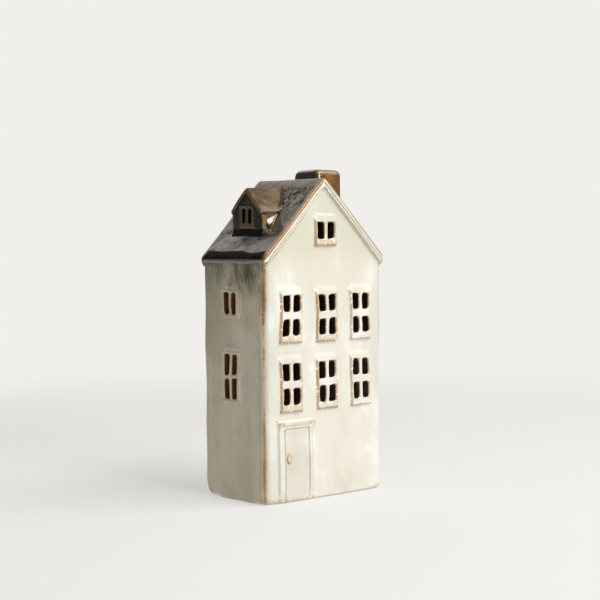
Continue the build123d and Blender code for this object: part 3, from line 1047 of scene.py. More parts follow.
@dataclass(frozen=True)
class WindowFrame:
    """One raised window frame with its panes cut by hand through the wall."""

    name: str
    face: Face
    middle: float
    sill: float
    pane: tuple[float, float]
    gaps: tuple[float, float]
    borders: tuple[float, float, float]
    rows: int
    seed: int
    relief: float = 1.15
    hood: bool = False
    wall: float = HOUSE.wall
    plug: float = 1.0
    play: float = 0.1
    thick_head: bool = False
    edge_radius: float = 0.75
    seat: float = 0.14
    worn: float = 0.35
    head_roll: float = 2.6
    hood_margin: float = 1.9
    hood_crown: float = 3.6
    hood_shoulder: float = 2.4
    hood_relief: float = 0.62

    @property
    def panes_size(self) -> tuple[float, float]:
        """Width and height of all the panes with the bars between them."""
        return (2 * self.pane[0] + self.gaps[0],
                self.rows * self.pane[1] + (self.rows - 1) * self.gaps[1])

    @property
    def size(self) -> tuple[float, float]:
        """Width and height of the frame."""
        side, head, foot = self.borders
        return self.panes_size[0] + 2 * side, self.panes_size[1] + head + foot

    @property
    def head(self) -> float:
        """Height of the frame's upper edge."""
        return self.sill + self.size[1]

    @property
    def centre(self) -> tuple[float, float]:
        """Middle of the frame."""
        return self.middle, self.sill + self.size[1] / 2

    @property
    def panes_centre(self) -> tuple[float, float]:
        """Middle of the panes."""
        return self.middle, self.sill + self.borders[2] + self.panes_size[1] / 2

    def pane_middles(self) -> list[tuple[float, float]]:
        """Middles of the panes."""
        step = self.pane[0] + self.gaps[0], self.pane[1] + self.gaps[1]
        return [(self.panes_centre[0] + (column - 0.5) * step[0],
                 self.panes_centre[1] + (row - (self.rows - 1) / 2) * step[1])
                for column in range(2) for row in range(self.rows)]

    def hole(self) -> Callable[[Vector], bool]:
        """Tell what is inside the hole in the wall, a little wider than the plug behind."""
        middle, size, margin = self.panes_centre, self.panes_size, self.plug + self.play
        return lambda p: (abs(p.x - middle[0]) < size[0] / 2 + margin
                          and abs(p.y - middle[1]) < size[1] / 2 + margin)

    def hole_lines(self, way: int) -> Lines:
        """Lines that the wall's net has for the hole, across for 0 and up for 1."""
        half = self.panes_size[way] / 2 + self.plug + self.play
        return [self.panes_centre[way] - half, self.panes_centre[way] + half]

    def lines(self, way: int) -> Lines:
        """Lines of the frame's own net, across for 0 and up for 1."""
        marks: Lines = []
        for middle in self.pane_middles():
            for side in SIDES:
                edge = middle[way] + side * self.pane[way] / 2
                marks += [edge + side * step for step in (0, 0.13, 0.32, 0.55, 0.8)]
                marks += [edge - side * step for step in (0.4, 0.9)]
        half = self.size[way] / 2
        for side in SIDES:
            edge = self.centre[way] + side * half
            marks += [edge + side * step for step in (-0.9, -0.55, -0.25, 0, 0.25, 0.5, 0.8)]
            if way == 1 and side > 0:
                marks += [edge + step for step in (1.2, 1.7, 2.2, 2.7)]
            if self.hood:
                hood_reach = self.hood_margin if way == 0 else (4.6 if side > 0 else 0.9)
                marks += [edge + side * (hood_reach + step) for step in (0, 0.5, 1.0)]
        start, end = self.hole_lines(way)
        return net([*marks, start + self.play, end - self.play], 0.75)

    def nudges(self) -> list[tuple[Points, Points, float]]:
        """Places, pushes and reaches that round and loosen the panes' corners."""
        chance = np.random.default_rng(self.seed)
        found = []
        for middle in self.pane_middles():
            for right in SIDES:
                for up in SIDES:
                    corner = np.array([middle[0] + right * self.pane[0] / 2,
                                       middle[1] + up * self.pane[1] / 2])
                    inwards = np.array([-right, -up], float)
                    found.append((corner, inwards * chance.uniform(0.25, 0.5), 0.62))
                    found.append((corner, chance.normal(size=2) * 0.2, 1.9))
        return found

    def hood_inside(self, across: Points, up: Points) -> Points:
        """How far points are inside the arched hood.

        Args:
            across: places across the face.
            up: heights.

        Returns:
            Distances inwards from the hood's outline.
        """
        half = self.size[0] / 2 + self.hood_margin
        top, shoulder = self.head + self.hood_crown, self.head - self.hood_shoulder
        rise = top - shoulder
        radius = (half**2 + rise**2) / (2 * rise)
        arch = radius - np.hypot(across - self.middle, up - (top - radius))
        sides = half - np.abs(across - self.middle)
        return np.minimum(np.minimum(sides, arch), up - self.sill + 0.4)

    def from_pane(self, across: Points, up: Points) -> Points:
        """How far points are from the nearest pane, below zero inside it."""
        return np.min([outside_box(across, up, middle, self.pane)
                       for middle in self.pane_middles()], axis=0)

    def where(self, across: Points, up: Points, inner: Points) -> Points:
        """Bend the frame's net into place.

        Args:
            across: places across the face.
            up: heights.
            inner: 0 on the outer skin to 1 on the inner one.

        Returns:
            The places.
        """
        places, roll = np.stack([across, up], axis=1), self.head_roll
        inside = -outside_box(across, up, self.centre, self.size)
        if self.thick_head:
            past = np.maximum(np.abs(across - self.middle) - self.size[0] / 2 + roll, 0)
            over = np.maximum(up - self.head + 0.9, 0)
            pooled = (roll - np.hypot(past, over)) / roll
            share = ramp(up, self.head - 3.2, self.head - 0.8)
            inside = inside + (pooled - inside) * share
        half = self.panes_size[1] / 2
        swell = 0.18 * ramp(np.abs(up - self.panes_centre[1]), half - 0.4, half + 1.6)
        from_panes = outside_box(across, up, self.panes_centre, self.panes_size)
        crest = self.relief * np.where(from_panes < -0.01, 0.86, 1.0) + swell
        if self.thick_head:
            crest = crest - 0.3 * ramp(up, self.head - 2.8, self.head + 0.5)
        height = -self.seat + (crest + self.seat) * ramp(inside, -0.6, 0.75)
        if self.hood:
            low = -self.seat + self.hood_relief * ramp(self.hood_inside(across, up), -0.7, 0.7)
            groove = 0.3 * np.exp(-np.square((inside + 0.5) / 0.45))
            height = np.maximum(height, low - groove)
        height = height - round_over(np.maximum(self.from_pane(across, up), 0), self.edge_radius)
        bottom = np.where(from_panes < self.plug + 0.02, -self.wall, -0.7)
        out = height + (bottom - height) * inner**1.8
        corner = np.array([self.middle - self.size[0] / 2, self.head])
        pulled = np.array([-0.6, 0.6]) * self.relief, math.sqrt(6.0)
        moved = places.copy()
        for middle, push, reach in [*self.nudges(), (corner, *pulled)]:
            near = np.square(places - middle).sum(1)
            moved += np.exp(-near / (2 * reach**2))[:, None] * push
        return self.face.places(moved[:, 0], moved[:, 1], out)

    def build(self, workshop: Workshop, slot: str, finish: object) -> None:
        """Shape, pierce and glaze the frame."""
        sheet = Sheet(self.lines(0), self.lines(1))
        boxes = [(Vector((*middle, 0)), self.pane) for middle in self.pane_middles()]
        sheet.open(lambda p: any(abs(p.x - middle.x) < size[0] / 2
                                 and abs(p.y - middle.y) < size[1] / 2
                                 for middle, size in boxes))
        sheet.thicken(6).place(self.where)
        workshop.finish(sheet.bm, Label(self.name, slot), finish, self.depth, self.bare,
                        self.worn)

    def across_and_up(self, points: Points) -> tuple[Points, Points]:
        """Places across the face and heights of finished points."""
        column = 0 if self.face in (Face.FRONT, Face.BACK) else 1
        way = -1 if self.face in (Face.BACK, Face.LEFT, Face.DORMER) else 1
        shift = DORMER.shift if self.face is Face.DORMER else 0.0
        return way * (points[:, column] - shift), points[:, 2]

    def bare(self, points: Points) -> Points:
        """How thin the glaze lies along the frame's outer edge and round the panes."""
        across, up = self.across_and_up(points)
        inside = -outside_box(across, up, self.centre, self.size)
        from_panes = outside_box(across, up, self.panes_centre, self.panes_size)
        half = self.size[0] / 2
        edges = ((across - self.middle + half, 0.75), (self.middle + half - across, 0.55),
                 (up - self.sill, 0.9))
        rim = sum(share * np.exp(-np.square((gap - 0.1) / 0.7)) for gap, share in edges)
        low = ramp(up, self.head - 0.8, self.head - 3.0) * ramp(inside, -0.7, -0.2)
        border = low * (0.16 + 0.24 * (from_panes > 0.2))
        round_panes = np.exp(-np.square(self.from_pane(across, up) / 0.35))
        bared = 0.45 * rim * low + border + 0.15 * round_panes
        return bared * (0.55 if self.hood else 1 - 0.014 * max(self.middle, 0.0))

    def depth(self, points: Points) -> Points:
        """How far inside the openings places are, as a share."""
        flat = {Face.FRONT: points[:, 1] + HOUSE.half_depth,
                Face.BACK: HOUSE.half_depth - points[:, 1],
                Face.LEFT: points[:, 0] + HOUSE.half_width,
                Face.RIGHT: HOUSE.half_width - points[:, 0],
                Face.DORMER: points[:, 0] + DORMER.reach}
        from_panes = outside_box(*self.across_and_up(points), self.panes_centre, self.panes_size)
        return ramp(flat[self.face], -0.3, 0.6) * ramp(from_panes, 0.8, 0.4)


@dataclass(frozen=True)
class DormerSizes:
    """Sizes of the dormer on the left slope."""

    reach: float = 33.5
    shift: float = 2.7
    half_width: float = 13.5
    wall: float = 3.5
    wall_rise: float = 13.4
    gable_rise: float = 13.8
    roof_thickness: float = 2.2
    corner: float = 1.3

    @property
    def foot(self) -> float:
        """Height at which the dormer's face stands on the slope."""
        return HOUSE.ridge - HOUSE.slope * self.reach

    @property
    def slope(self) -> float:
        """Fall of the dormer's roof for each millimetre outwards."""
        return self.gable_rise / self.half_width

    @property
    def crown(self) -> float:
        """Height of the dormer's ridge."""
        return self.foot + self.wall_rise + self.gable_rise

    def top(self, across: Points, softness: float = 0.0) -> Points:
        """Height of the dormer's roof, with its ridge eased by a softness."""
        return self.crown - self.slope * np.sqrt(np.square(across) + softness**2)

    @property
    def drop(self) -> float:
        """Height between the top and the underside of the dormer's roof."""
        return self.roof_thickness * math.hypot(1, self.slope)


DORMER = DormerSizes()


def front_frames() -> list[WindowFrame]:
    """The six front windows and the attic window."""
    spacing, shift = 27.6, 0.6
    lower, upper = 52.2, 91.4
    shared = {"face": Face.FRONT, "pane": (5.3, 9.6), "gaps": (2.5, 4.2),
              "borders": (1.75, 2.8, 4.0), "thick_head": True}
    frames = [WindowFrame(name=f"window_{row}_{column}", middle=shift + step * spacing,
                          sill=sill, rows=2, seed=20 + 3 * place + step, **shared)
              for place, (row, sill) in enumerate((("lower", lower), ("upper", upper)))
              for step, column in ((-1, "left"), (0, "middle"), (1, "right"))]
    frames.append(WindowFrame(name="window_attic", middle=shift, sill=HOUSE.eave + 5.9,
                              rows=1, seed=40, **shared))
    return frames


def side_frames(face: Face) -> list[WindowFrame]:
    """The lower and upper window of one side wall."""
    side = face.value
    middle = -2.3 if face is Face.LEFT else 2.3
    shared = {"face": face, "middle": middle, "gaps": (2.1, 2.2),
              "borders": (2.5, 1.8, 1.8), "hood": True, "relief": 0.75}
    start = 50 if face is Face.LEFT else 60
    return [WindowFrame(name=f"window_{side}_side_lower", sill=56.9, pane=(4.5, 11.8),
                        rows=2, seed=start, **shared),
            WindowFrame(name=f"window_{side}_side_upper", sill=105.9, pane=(4.5, 12.6),
                        rows=1, seed=start + 1, **shared)]


def dormer_frame() -> WindowFrame:
    """The window in the dormer's face."""
    return WindowFrame(name="dormer_frame", face=Face.DORMER, middle=0.0,
                       sill=DORMER.foot + 3.2, pane=(3.0, 8.8), gaps=(2.4, 0.0),
                       borders=(2.2, 1.8, 2.8), rows=1, seed=70, relief=0.75,
                       wall=DORMER.wall, plug=0.8, edge_radius=0.6)


# ---------------------------------------------------------------- walls


@dataclass(frozen=True)
class GableSlab:
    """A gable wall whose outer corners are rounded round to the side walls."""

    half_width: float
    corner: float
    wall: float

    @property
    def reach(self) -> float:
        """Length from the middle of the face round the corner to the slab's inner side."""
        return (self.half_width - self.corner + self.corner * math.pi / 2
                + self.wall - self.corner)

    def marks(self, steps: int = 9) -> Lines:
        """Places across the slab that have to have a line, fine round the corners."""
        flat, turn = self.half_width - self.corner, self.corner * math.pi / 2
        corner = [flat + turn * i / steps for i in range(steps + 1)] + [self.reach]
        return [*corner, *(-c for c in corner)]

    def wrap(self, along: Points) -> tuple[Points, Points, Points]:
        """Bend a length along the skin round the corners.

        Args:
            along: lengths from the middle of the face.

        Returns:
            The places across, the distances outwards and the turns in radians.
        """
        flat, turn = self.half_width - self.corner, self.corner * math.pi / 2
        past = np.clip(np.abs(along) - flat, 0, turn) / self.corner
        straight = np.maximum(np.abs(along) - flat - turn, 0)
        across = np.minimum(np.abs(along), flat) + self.corner * np.sin(past)
        return np.sign(along) * across, -self.corner * (1 - np.cos(past)) - straight, past


@dataclass
class Walls:
    """The four walls and the floor between them."""

    workshop: Workshop
    frames: list[WindowFrame]
    glaze: CreamGlaze = field(default_factory=CreamGlaze)
    opening_half_width: float = 23.0
    opening_top: float = 65.0
    rim_radius: float = 1.3
    floor: float = 5.0
    sunk: float = 2.4
    slot: str = "cream_glaze"

    def build(self) -> None:
        """Shape and glaze the walls."""
        self.gable("front_wall", Face.FRONT)
        self.gable("back_wall", Face.BACK)
        self.side("left_wall", Face.LEFT)
        self.side("right_wall", Face.RIGHT)
        self.workshop.dress_packed("floor", BareClay())

    def net(self, face: Face, marks: Iterable[float], rows: Iterable[float]) -> Sheet:
        """Lay the net of one wall, fine round the foot's soft edge, open behind its windows.

        Args:
            face: the face that the wall makes.
            marks: places across that have to have a line.
            rows: heights that have to have a line.

        Returns:
            The net.
        """
        windows = [f for f in self.frames if f.face is face]
        foot = (0.0, 0.06, 0.2, 0.42, 0.75, 1.1, 1.5, 2.0, 2.6, 3.2, 3.9)
        holes = [[line for w in windows for line in w.hole_lines(way)] for way in (0, 1)]
        sheet = Sheet(net([*marks, *holes[0]], 1.6), net([*foot, *rows, *holes[1]], 1.9))
        for window in windows:
            sheet.open(window.hole())
        return sheet

    @property
    def spring(self) -> float:
        """Height at which the arch of the back opening starts."""
        return self.opening_top - self.opening_half_width

    def gable(self, name: str, face: Face) -> None:
        """Shape one gable wall.

        Args:
            name: the piece's name.
            face: the face that it makes.
        """
        slab = GableSlab(HOUSE.half_width, HOUSE.corner, HOUSE.wall)
        top = float(HOUSE.roof_underside(0.0)) + self.sunk
        arch = self.opening_half_width
        if face is Face.BACK:
            sheet = self.net(face, [*slab.marks(), -arch, arch],
                             [self.floor, self.spring, self.opening_top, top])
            sheet.open(lambda p: self.floor < p.y and self.outside_arch(p.x, p.y) < 0)
            for vert in {v for e in sheet.bm.edges if e.is_boundary for v in e.verts}:
                if abs(vert.co.x) < arch + 2 and self.floor - 1 < vert.co.y < self.opening_top + 2:
                    self.snap_to_arch(vert)
        else:
            sheet = self.net(face, slab.marks(), [top])
        for side in SIDES:
            sheet.trim((0, top), (side * HOUSE.slope, 1))
        sheet.thicken(4)

        def where(along: Points, up: Points, inner: Points) -> Points:
            """Bend the slab round its corners, up to the slope."""
            across, out, turned = slab.wrap(along)
            lift = HOUSE.slope * (np.abs(along) - np.abs(across))
            up = up + lift * ramp(up, 100, 128)
            foot = HOUSE.foot_round(up, HOUSE.half_width - np.abs(across))
            out = out * (1 - inner) - HOUSE.wall * inner + np.cos(turned) * foot * inner
            return face.places(across, up, out, turned)

        sheet.place(where)
        if face is Face.BACK:
            self.soften_opening(sheet.bm)
        self.workshop.finish(sheet.bm, Label(name, self.slot), self.glaze,
                             lambda p: self.inside(p, face))

    def outside_arch(self, x: float, z: float) -> float:
        """How far a place is outside the back opening's outline."""
        if z > self.spring:
            return math.hypot(x, z - self.spring) - self.opening_half_width
        return abs(x) - self.opening_half_width

    def snap_to_arch(self, vert: bmesh.types.BMVert) -> None:
        """Move a point on the rim of the back opening onto its outline."""
        away = Vector((vert.co.x, vert.co.y - self.spring, 0))
        if vert.co.y > self.spring and away.length > 0.5 * self.opening_half_width:
            away.normalize()
            vert.co = Vector((0, self.spring, 0)) + away * self.opening_half_width

    def soften_opening(self, bm: bmesh.types.BMesh) -> None:
        """Round the rim of the back opening."""
        rims = [e for e in bm.edges if e.is_manifold and e.calc_face_angle(0) > 1.0
                and all(abs(v.co.x) < self.opening_half_width + 1
                        and self.floor + 1 < v.co.z < self.opening_top + 1 for v in e.verts)]
        round_edges(bm, rims, self.rim_radius, 4)

    def side(self, name: str, face: Face) -> None:
        """Shape one side wall.

        Args:
            name: the piece's name.
            face: the face that it makes.
        """
        half = HOUSE.half_depth - HOUSE.wall
        top = float(HOUSE.roof_underside(HOUSE.half_width)) + self.sunk
        sheet = self.net(face, [-half, half], [top]).thicken(2)

        def where(along: Points, up: Points, inner: Points) -> Points:
            """Stand the slab up, its top cut to the slope."""
            up = up + inner * HOUSE.slope * HOUSE.wall * ramp(up, top - 6, top)
            foot = HOUSE.foot_round(up, HOUSE.half_depth - np.abs(along))
            out = (-HOUSE.wall + foot) * inner
            return face.places(along, up, out)

        sheet.place(where)
        self.workshop.finish(sheet.bm, Label(name, self.slot), self.glaze,
                             lambda p: self.inside(p, face))

    @staticmethod
    def inside(points: Points, face: Face) -> Points:
        """How far inside the house places are, as a share."""
        if face in (Face.FRONT, Face.BACK):
            return ramp(HOUSE.half_depth - np.abs(points[:, 1]), 4.2, 5.0) * (
                np.abs(points[:, 0]) < HOUSE.half_width - HOUSE.wall)
        return ramp(HOUSE.half_width - np.abs(points[:, 0]), 3.0, 5.0)


# ---------------------------------------------------------------- roof and gables


@dataclass
class Roof:
    """The two slopes of the main roof and the raised bands along the gables."""

    workshop: Workshop
    glaze: RoofGlaze = field(default_factory=RoofGlaze)
    trim: CreamGlaze = field(default_factory=CreamGlaze)
    reach: float = 46.95
    fascia: float = 3.8
    ridge_softness: float = 1.1
    curl: float = 2.0
    bend: float = 4.6
    dents: float = 0.17
    band_sunk: float = 1.1
    dormer_hole: tuple[tuple[float, float], tuple[float, float]] = ((-28.5, -18.5), (-5.8, 11.2))
    chimney_hole: tuple[tuple[float, float], tuple[float, float]] = ((12.4, 23.2), (-8.8, 5.2))

    def build(self) -> None:
        """Shape and glaze the roof."""
        self.slope("roof_left", -1, *self.dormer_hole)
        self.slope("roof_right", 1, *self.chimney_hole)
        self.band("gable_band_front", -1)
        self.band("gable_band_back", 1)

    def profile(self) -> tuple[Points, Points]:
        """Outline of the slope's outer skin, from the ridge to under the eave.

        Returns:
            Distances outwards and heights.
        """
        start, bend = self.reach - 6.8, self.bend / HOUSE.stretch
        out = [*np.linspace(0, 6, 13), *np.linspace(7.5, start, 26)]
        high = [float(HOUSE.roof_top(o, self.ridge_softness)) for o in out[:13]]
        high += [float(HOUSE.roof_top(o)) for o in out[13:]]
        low = float(HOUSE.roof_top(self.reach)) - self.fascia
        nose = low + self.curl
        pulls = np.array([(start, high[-1]),
                          (start + bend, high[-1] - bend * HOUSE.slope),
                          (self.reach, nose + 2.6), (self.reach, nose)])
        for t in np.linspace(0, 1, 15)[1:]:
            shares = np.array([(1 - t) ** 3, 3 * t * (1 - t) ** 2, 3 * t**2 * (1 - t), t**3])
            point = shares @ pulls
            out.append(float(point[0]))
            high.append(float(point[1]))
        for turn in np.linspace(0, math.pi / 2, 8)[1:]:
            out.append(self.reach - self.curl * (1 - math.cos(turn)))
            high.append(low + self.curl * (1 - math.sin(turn)))
        return np.array(out), np.array(high)

    def slope(self, name: str, side: int, hole_out: tuple[float, float],
              hole_along: tuple[float, float]) -> None:
        """Shape one slope.

        Args:
            name: the piece's name.
            side: -1 for the left slope and 1 for the right one.
            hole_out: where its hole starts and ends across the house.
            hole_along: where its hole starts and ends along the house.
        """
        out, high = self.profile()
        run = length_along(out, high)
        hole_runs = sorted(float(np.interp(abs(x), out, run)) for x in hole_out)
        half = HOUSE.half_depth
        across = net([-half, -half + 0.3, half - 0.3, half, *hole_along], 1.3)
        sheet = Sheet(across, net([*run, *hole_runs], 1.3, 0.05))
        sheet.open(lambda p: hole_along[0] < p.x < hole_along[1]
                   and hole_runs[0] < p.y < hole_runs[1])
        sheet.thicken(2)

        def where(along: Points, down: Points, inner: Points) -> Points:
            """Lay the slope on the walls."""
            x, z = np.interp(down, run, out), np.interp(down, run, high)
            under = np.minimum(x, HOUSE.half_width - 2.6)
            x = x + (under - x) * inner
            z = z + (HOUSE.roof_underside(under) - z) * inner
            waves = np.sin(along / 4.3 + 1.0 + np.sin(down / 5)) * np.sin(down / 4.1)
            waves += 0.7 * np.sin(along / 2.3 + down / 2.9) * np.sin(down / 3.4 + along / 7)
            z = z - self.dents * (waves + 1.3) * (1 - inner) * ramp(down, 3, 9)
            return np.stack([side * x, along, z], axis=1)

        sheet.place(where)
        self.workshop.finish(sheet.bm, Label(name, "roof_glaze"), self.glaze)

    @staticmethod
    def band_profile() -> tuple[Points, Points]:
        """Cross-section of a gable band.

        Returns:
            Drops inwards from the roof's top, and distances outwards from the gable.
        """
        turn = np.linspace(0, math.pi / 2, 8)
        drop = [0.0, *(1.25 * (1 - np.cos(turn))), 1.9, 2.3, 2.6, 2.9, 3.4, 3.9]
        proud = [-0.7, *(0.05 + 1.2 * np.sin(turn)), 1.2, 0.98, 0.78, 0.98, 1.24, 1.3]
        turn = np.linspace(0, math.pi / 2, 6)[1:]
        drop += [*(3.9 + 0.55 * np.sin(turn)), 4.6, 4.85, 5.15, 5.5]
        proud += [*(0.75 + 0.55 * np.cos(turn)), 0.4, 0.16, 0.02, -0.15]
        return np.array(drop), np.array(proud)

    def band(self, name: str, side: int) -> None:
        """Shape the band along one gable.

        Args:
            name: the piece's name.
            side: -1 for the front gable and 1 for the back one.
        """
        drop, proud = self.band_profile()
        run = length_along(drop, proud)
        reach = HOUSE.reach - 0.5
        ends = [reach - step for step in (0, 0.1, 0.3, 0.65, 1.1, 1.7, 2.4, 3.2)]
        marks = [*ends, *(-e for e in ends), *np.linspace(-4, 4, 17)]
        sheet = Sheet(net(marks, 1.7), list(run)).thicken(2)

        def where(across: Points, along: Points, inner: Points) -> Points:
            """Lay the band along both slopes."""
            down, out = np.interp(along, run, drop), np.interp(along, run, proud)
            out = out + (-self.band_sunk - out) * inner
            softness = 1.1 - 0.8 * ramp(down, 0, 4)
            z = HOUSE.roof_top(across, softness) - down * HOUSE.stretch
            to_end = reach - np.abs(across)
            z = z - 1.0 * round_over(to_end, 1.6) * (1 - ramp(down, 0, 3))
            z = z + 2.0 * round_over(to_end, 3.0) * ramp(down, 1.5, 5.0)
            out = out - 1.0 * (1 - inner) * round_over(to_end, 2.4) / 2.4 * np.maximum(out, 0)
            return np.stack([across, side * (HOUSE.half_depth + out), z], axis=1)

        sheet.place(where)
        self.workshop.finish(sheet.bm, Label(name, "cream_glaze"), self.trim)


# ---------------------------------------------------------------- dormer


@dataclass
class Dormer:
    """The dormer on the left slope: face, window, cheeks and roof."""

    workshop: Workshop
    window: WindowFrame
    glaze: AmberGlaze = field(default_factory=AmberGlaze)
    slot: str = "olive_glaze"
    sunk: float = 1.4
    eave_roll: float = 2.4
    eave_gap: float = 0.05
    front_radius: float = 1.2
    over_face: float = 0.9
    roof_swell: float = 0.4
    glaze_coat: float = 0.3

    def build(self) -> None:
        """Shape and glaze the dormer."""
        self.front()
        self.cheek("dormer_cheek_front", 1)
        self.cheek("dormer_cheek_back", -1)
        self.roof()
        self.window.build(self.workshop, self.slot, self.glaze)

    def front(self) -> None:
        """Shape the dormer's face."""
        slab = GableSlab(DORMER.half_width, DORMER.corner, DORMER.wall)
        low = DORMER.foot - 1.6
        top = float(DORMER.top(0.0)) - DORMER.drop + 0.4
        sheet = Sheet(net([*self.window.hole_lines(0), *slab.marks()], 1.0),
                      net([low, *self.window.hole_lines(1), top], 1.0))
        sheet.open(self.window.hole())
        for side in SIDES:
            sheet.trim((0, top), (side * DORMER.slope, 1))
        sheet.thicken(2)

        def where(along: Points, up: Points, inner: Points) -> Points:
            """Stand the face on the slope."""
            across, out, _ = slab.wrap(along)
            up = up + DORMER.slope * (np.abs(along) - np.abs(across)) * ramp(
                up, DORMER.foot + 4, DORMER.foot + 10)
            up = up + inner * DORMER.wall * HOUSE.slope * (1 - ramp(
                up, DORMER.foot, DORMER.foot + 6))
            skirt = 1.1 * (1 - inner) * np.square(ramp(up, DORMER.foot + 2.4, DORMER.foot - 0.8))
            return Face.DORMER.places(across, up,
                                      out * (1 - inner) - DORMER.wall * inner + skirt)

        sheet.place(where)
        self.workshop.finish(sheet.bm, Label("dormer_front", self.slot), self.glaze)

    def cheek(self, name: str, side: int) -> None:
        """Shape one triangular side wall.

        Args:
            name: the piece's name.
            side: 1 for the cheek towards the front gable, -1 for the other.
        """
        start = DORMER.reach - DORMER.wall
        end = DORMER.reach - (DORMER.wall_rise - 1.8) / HOUSE.slope
        sheet = Sheet(net([end, start], 0.6), net([0.0, 1.0], 0.04)).thicken(1)

        def where(out: Points, share: Points, inner: Points) -> Points:
            """Stand the cheek between the slope and the dormer's roof."""
            low = HOUSE.roof_top(out) - self.sunk
            high = DORMER.top(DORMER.half_width) - self.sunk
            z = low + (high - low) * share
            over = np.maximum(z - HOUSE.roof_top(out), 0) / HOUSE.stretch
            room = np.maximum(high - HOUSE.roof_top(out), 0.2) / HOUSE.stretch
            lean = np.maximum(0.62 * room - over, 0)
            swell = (0.88 * lean + 0.35 * round_over(over, 0.3 * room)) * ramp(start - out, -3, 2)
            y = DORMER.half_width + swell - (DORMER.wall - self.glaze_coat + swell) * inner
            return np.stack([-out, DORMER.shift - side * y, z], axis=1)

        sheet.place(where)
        self.workshop.finish(sheet.bm, Label(name, self.slot), self.glaze)

    def roof_profile(self) -> tuple[Points, Points]:
        """Outline of the roof's outer skin, from one eave over the ridge to the other.

        Returns:
            Distances across and heights.
        """
        reach, roll = DORMER.half_width + self.eave_gap, self.eave_roll
        tilt = math.atan(DORMER.slope)
        setback = roll * math.tan((math.pi / 2 - tilt) / 2)
        start = reach - setback * math.cos(tilt)
        out = [*np.linspace(0, 3, 9), *np.linspace(3.8, start, 9)]
        bulge = [self.roof_swell * math.sin(math.pi * min(o / start, 1)) for o in out]
        high = [float(DORMER.top(o, 0.7)) + self.glaze_coat + b for o, b in zip(out, bulge)]
        low = float(DORMER.top(reach)) + self.glaze_coat - setback
        for turn in np.linspace(math.pi / 2 - tilt, 0, 9)[1:]:
            out.append(reach - roll + roll * math.cos(turn))
            high.append(low + roll * math.sin(turn))
        for inwards, drop in ((0.05, 0.3), (0.2, 0.6), (0.5, 0.85), (1.2, 0.95)):
            out.append(reach - inwards)
            high.append(low - drop)
        return np.array([-o for o in out[::-1]] + out[1:]), np.array(high[::-1] + high[1:])

    def roof(self) -> None:
        """Shape the dormer's roof over both of its slopes."""
        across, heights = self.roof_profile()
        run = length_along(across, heights)
        flat, length = 1.5, 100.0
        ends = [0, 0.07, 0.2, 0.42, 0.7, 1.05, flat]
        sheet = Sheet(list(run), [*ends, *np.linspace(5, length, 16)]).thicken(2)
        front = DORMER.reach + self.over_face

        def where(along: Points, back: Points, inner: Points) -> Points:
            """Lay the roof from the dormer's face back to the main slope."""
            y, z = np.interp(along, run, across), np.interp(along, run, heights)
            over = np.clip(np.abs(y), 0, DORMER.half_width - 1.0)
            under = DORMER.top(over) - DORMER.drop
            z = z + (under - z) * inner
            y = y + (np.sign(y) * over - y) * inner
            meet = (HOUSE.ridge - z) / HOUSE.slope - self.sunk
            share = np.maximum(back - flat, 0) / (length - flat)
            x = front - np.minimum(back, flat)
            x = x + (meet - x) * share
            near = np.maximum(x - meet - self.sunk, 0) * HOUSE.slope / HOUSE.stretch
            z = z + 0.25 * round_over(near, 4.0) * (1 - inner)
            sink = round_over(back, self.front_radius) * (1 - inner)
            towards = np.stack([-y, DORMER.foot + 6 - z], axis=1)
            towards /= np.linalg.norm(towards, axis=1)[:, None]
            y, z = y + towards[:, 0] * sink, z + towards[:, 1] * sink
            return np.stack([-x, DORMER.shift - y, z], axis=1)

        sheet.place(where)
        self.workshop.finish(sheet.bm, Label("dormer_roof", self.slot), self.glaze)


# ---------------------------------------------------------------- chimney, door


@dataclass
class Chimney:
    """The chimney block on the right slope, with its open flue."""

    workshop: Workshop
    glaze: AmberGlaze = field(default_factory=AmberGlaze)
    middle: tuple[float, float] = (17.8, -1.8)
    size: tuple[float, float] = (20.8, 24.0)
    wall: float = 5.0
    radius: float = 3.9
    top: float = 192.0
    base: float = 150.0
    sunk: float = 2.0
    taper: tuple[float, float] = (1.2, 3.6)
    widest: float = 2.4
    flue_margin: float = 4.2

    def build(self) -> None:
        """Shape and glaze the chimney."""
        bm = bmesh.new()
        bmesh.ops.create_cube(bm, size=1)
        for vert in bm.verts:
            vert.co = (self.middle[0] + vert.co.x * self.size[0],
                       self.middle[1] + vert.co.y * self.size[1],
                       self.top if vert.co.z > 0 else self.base)
        outside = [e for e in bm.edges if any(v.co.z > self.base for v in e.verts)]
        round_edges(bm, outside, self.radius, 6)
        crown = max(bm.faces, key=lambda f: f.calc_center_median().z)
        bmesh.ops.inset_region(bm, faces=[crown], thickness=self.wall - self.radius)
        flue = bmesh.ops.extrude_discrete_faces(bm, faces=[crown])["faces"][0]
        for vert in flue.verts:
            vert.co.z = self.base + 1.0
        floor = min(bm.faces, key=lambda f: f.calc_center_median().z)
        bmesh.ops.delete(bm, geom=[flue, floor], context="FACES")
        bmesh.ops.bridge_loops(bm, edges=[e for e in bm.edges if e.is_boundary])
        for vert in bm.verts:
            height = (vert.co.z - self.base) / (self.top - self.base)
            if height < 0.1:
                vert.co.z = float(HOUSE.roof_top(vert.co.x)) - self.sunk
            if vert.co.y > self.middle[1]:
                vert.co.y += self.taper[0] - self.taper[1] * height
        longest = [e for e in bm.edges if e.calc_length() > self.widest]
        bmesh.ops.subdivide_edges(bm, edges=longest, cuts=4, use_grid_fill=True)
        self.workshop.finish(bm, Label("chimney", "olive_glaze"), self.glaze, self.in_flue)

    def in_flue(self, points: Points) -> Points:
        """How far down the flue places are, as a share."""
        from_side = -outside_box(points[:, 0], points[:, 1], self.middle, self.size)
        return (from_side > self.flue_margin) * ramp(self.top - points[:, 2], 0.6, 4.0)


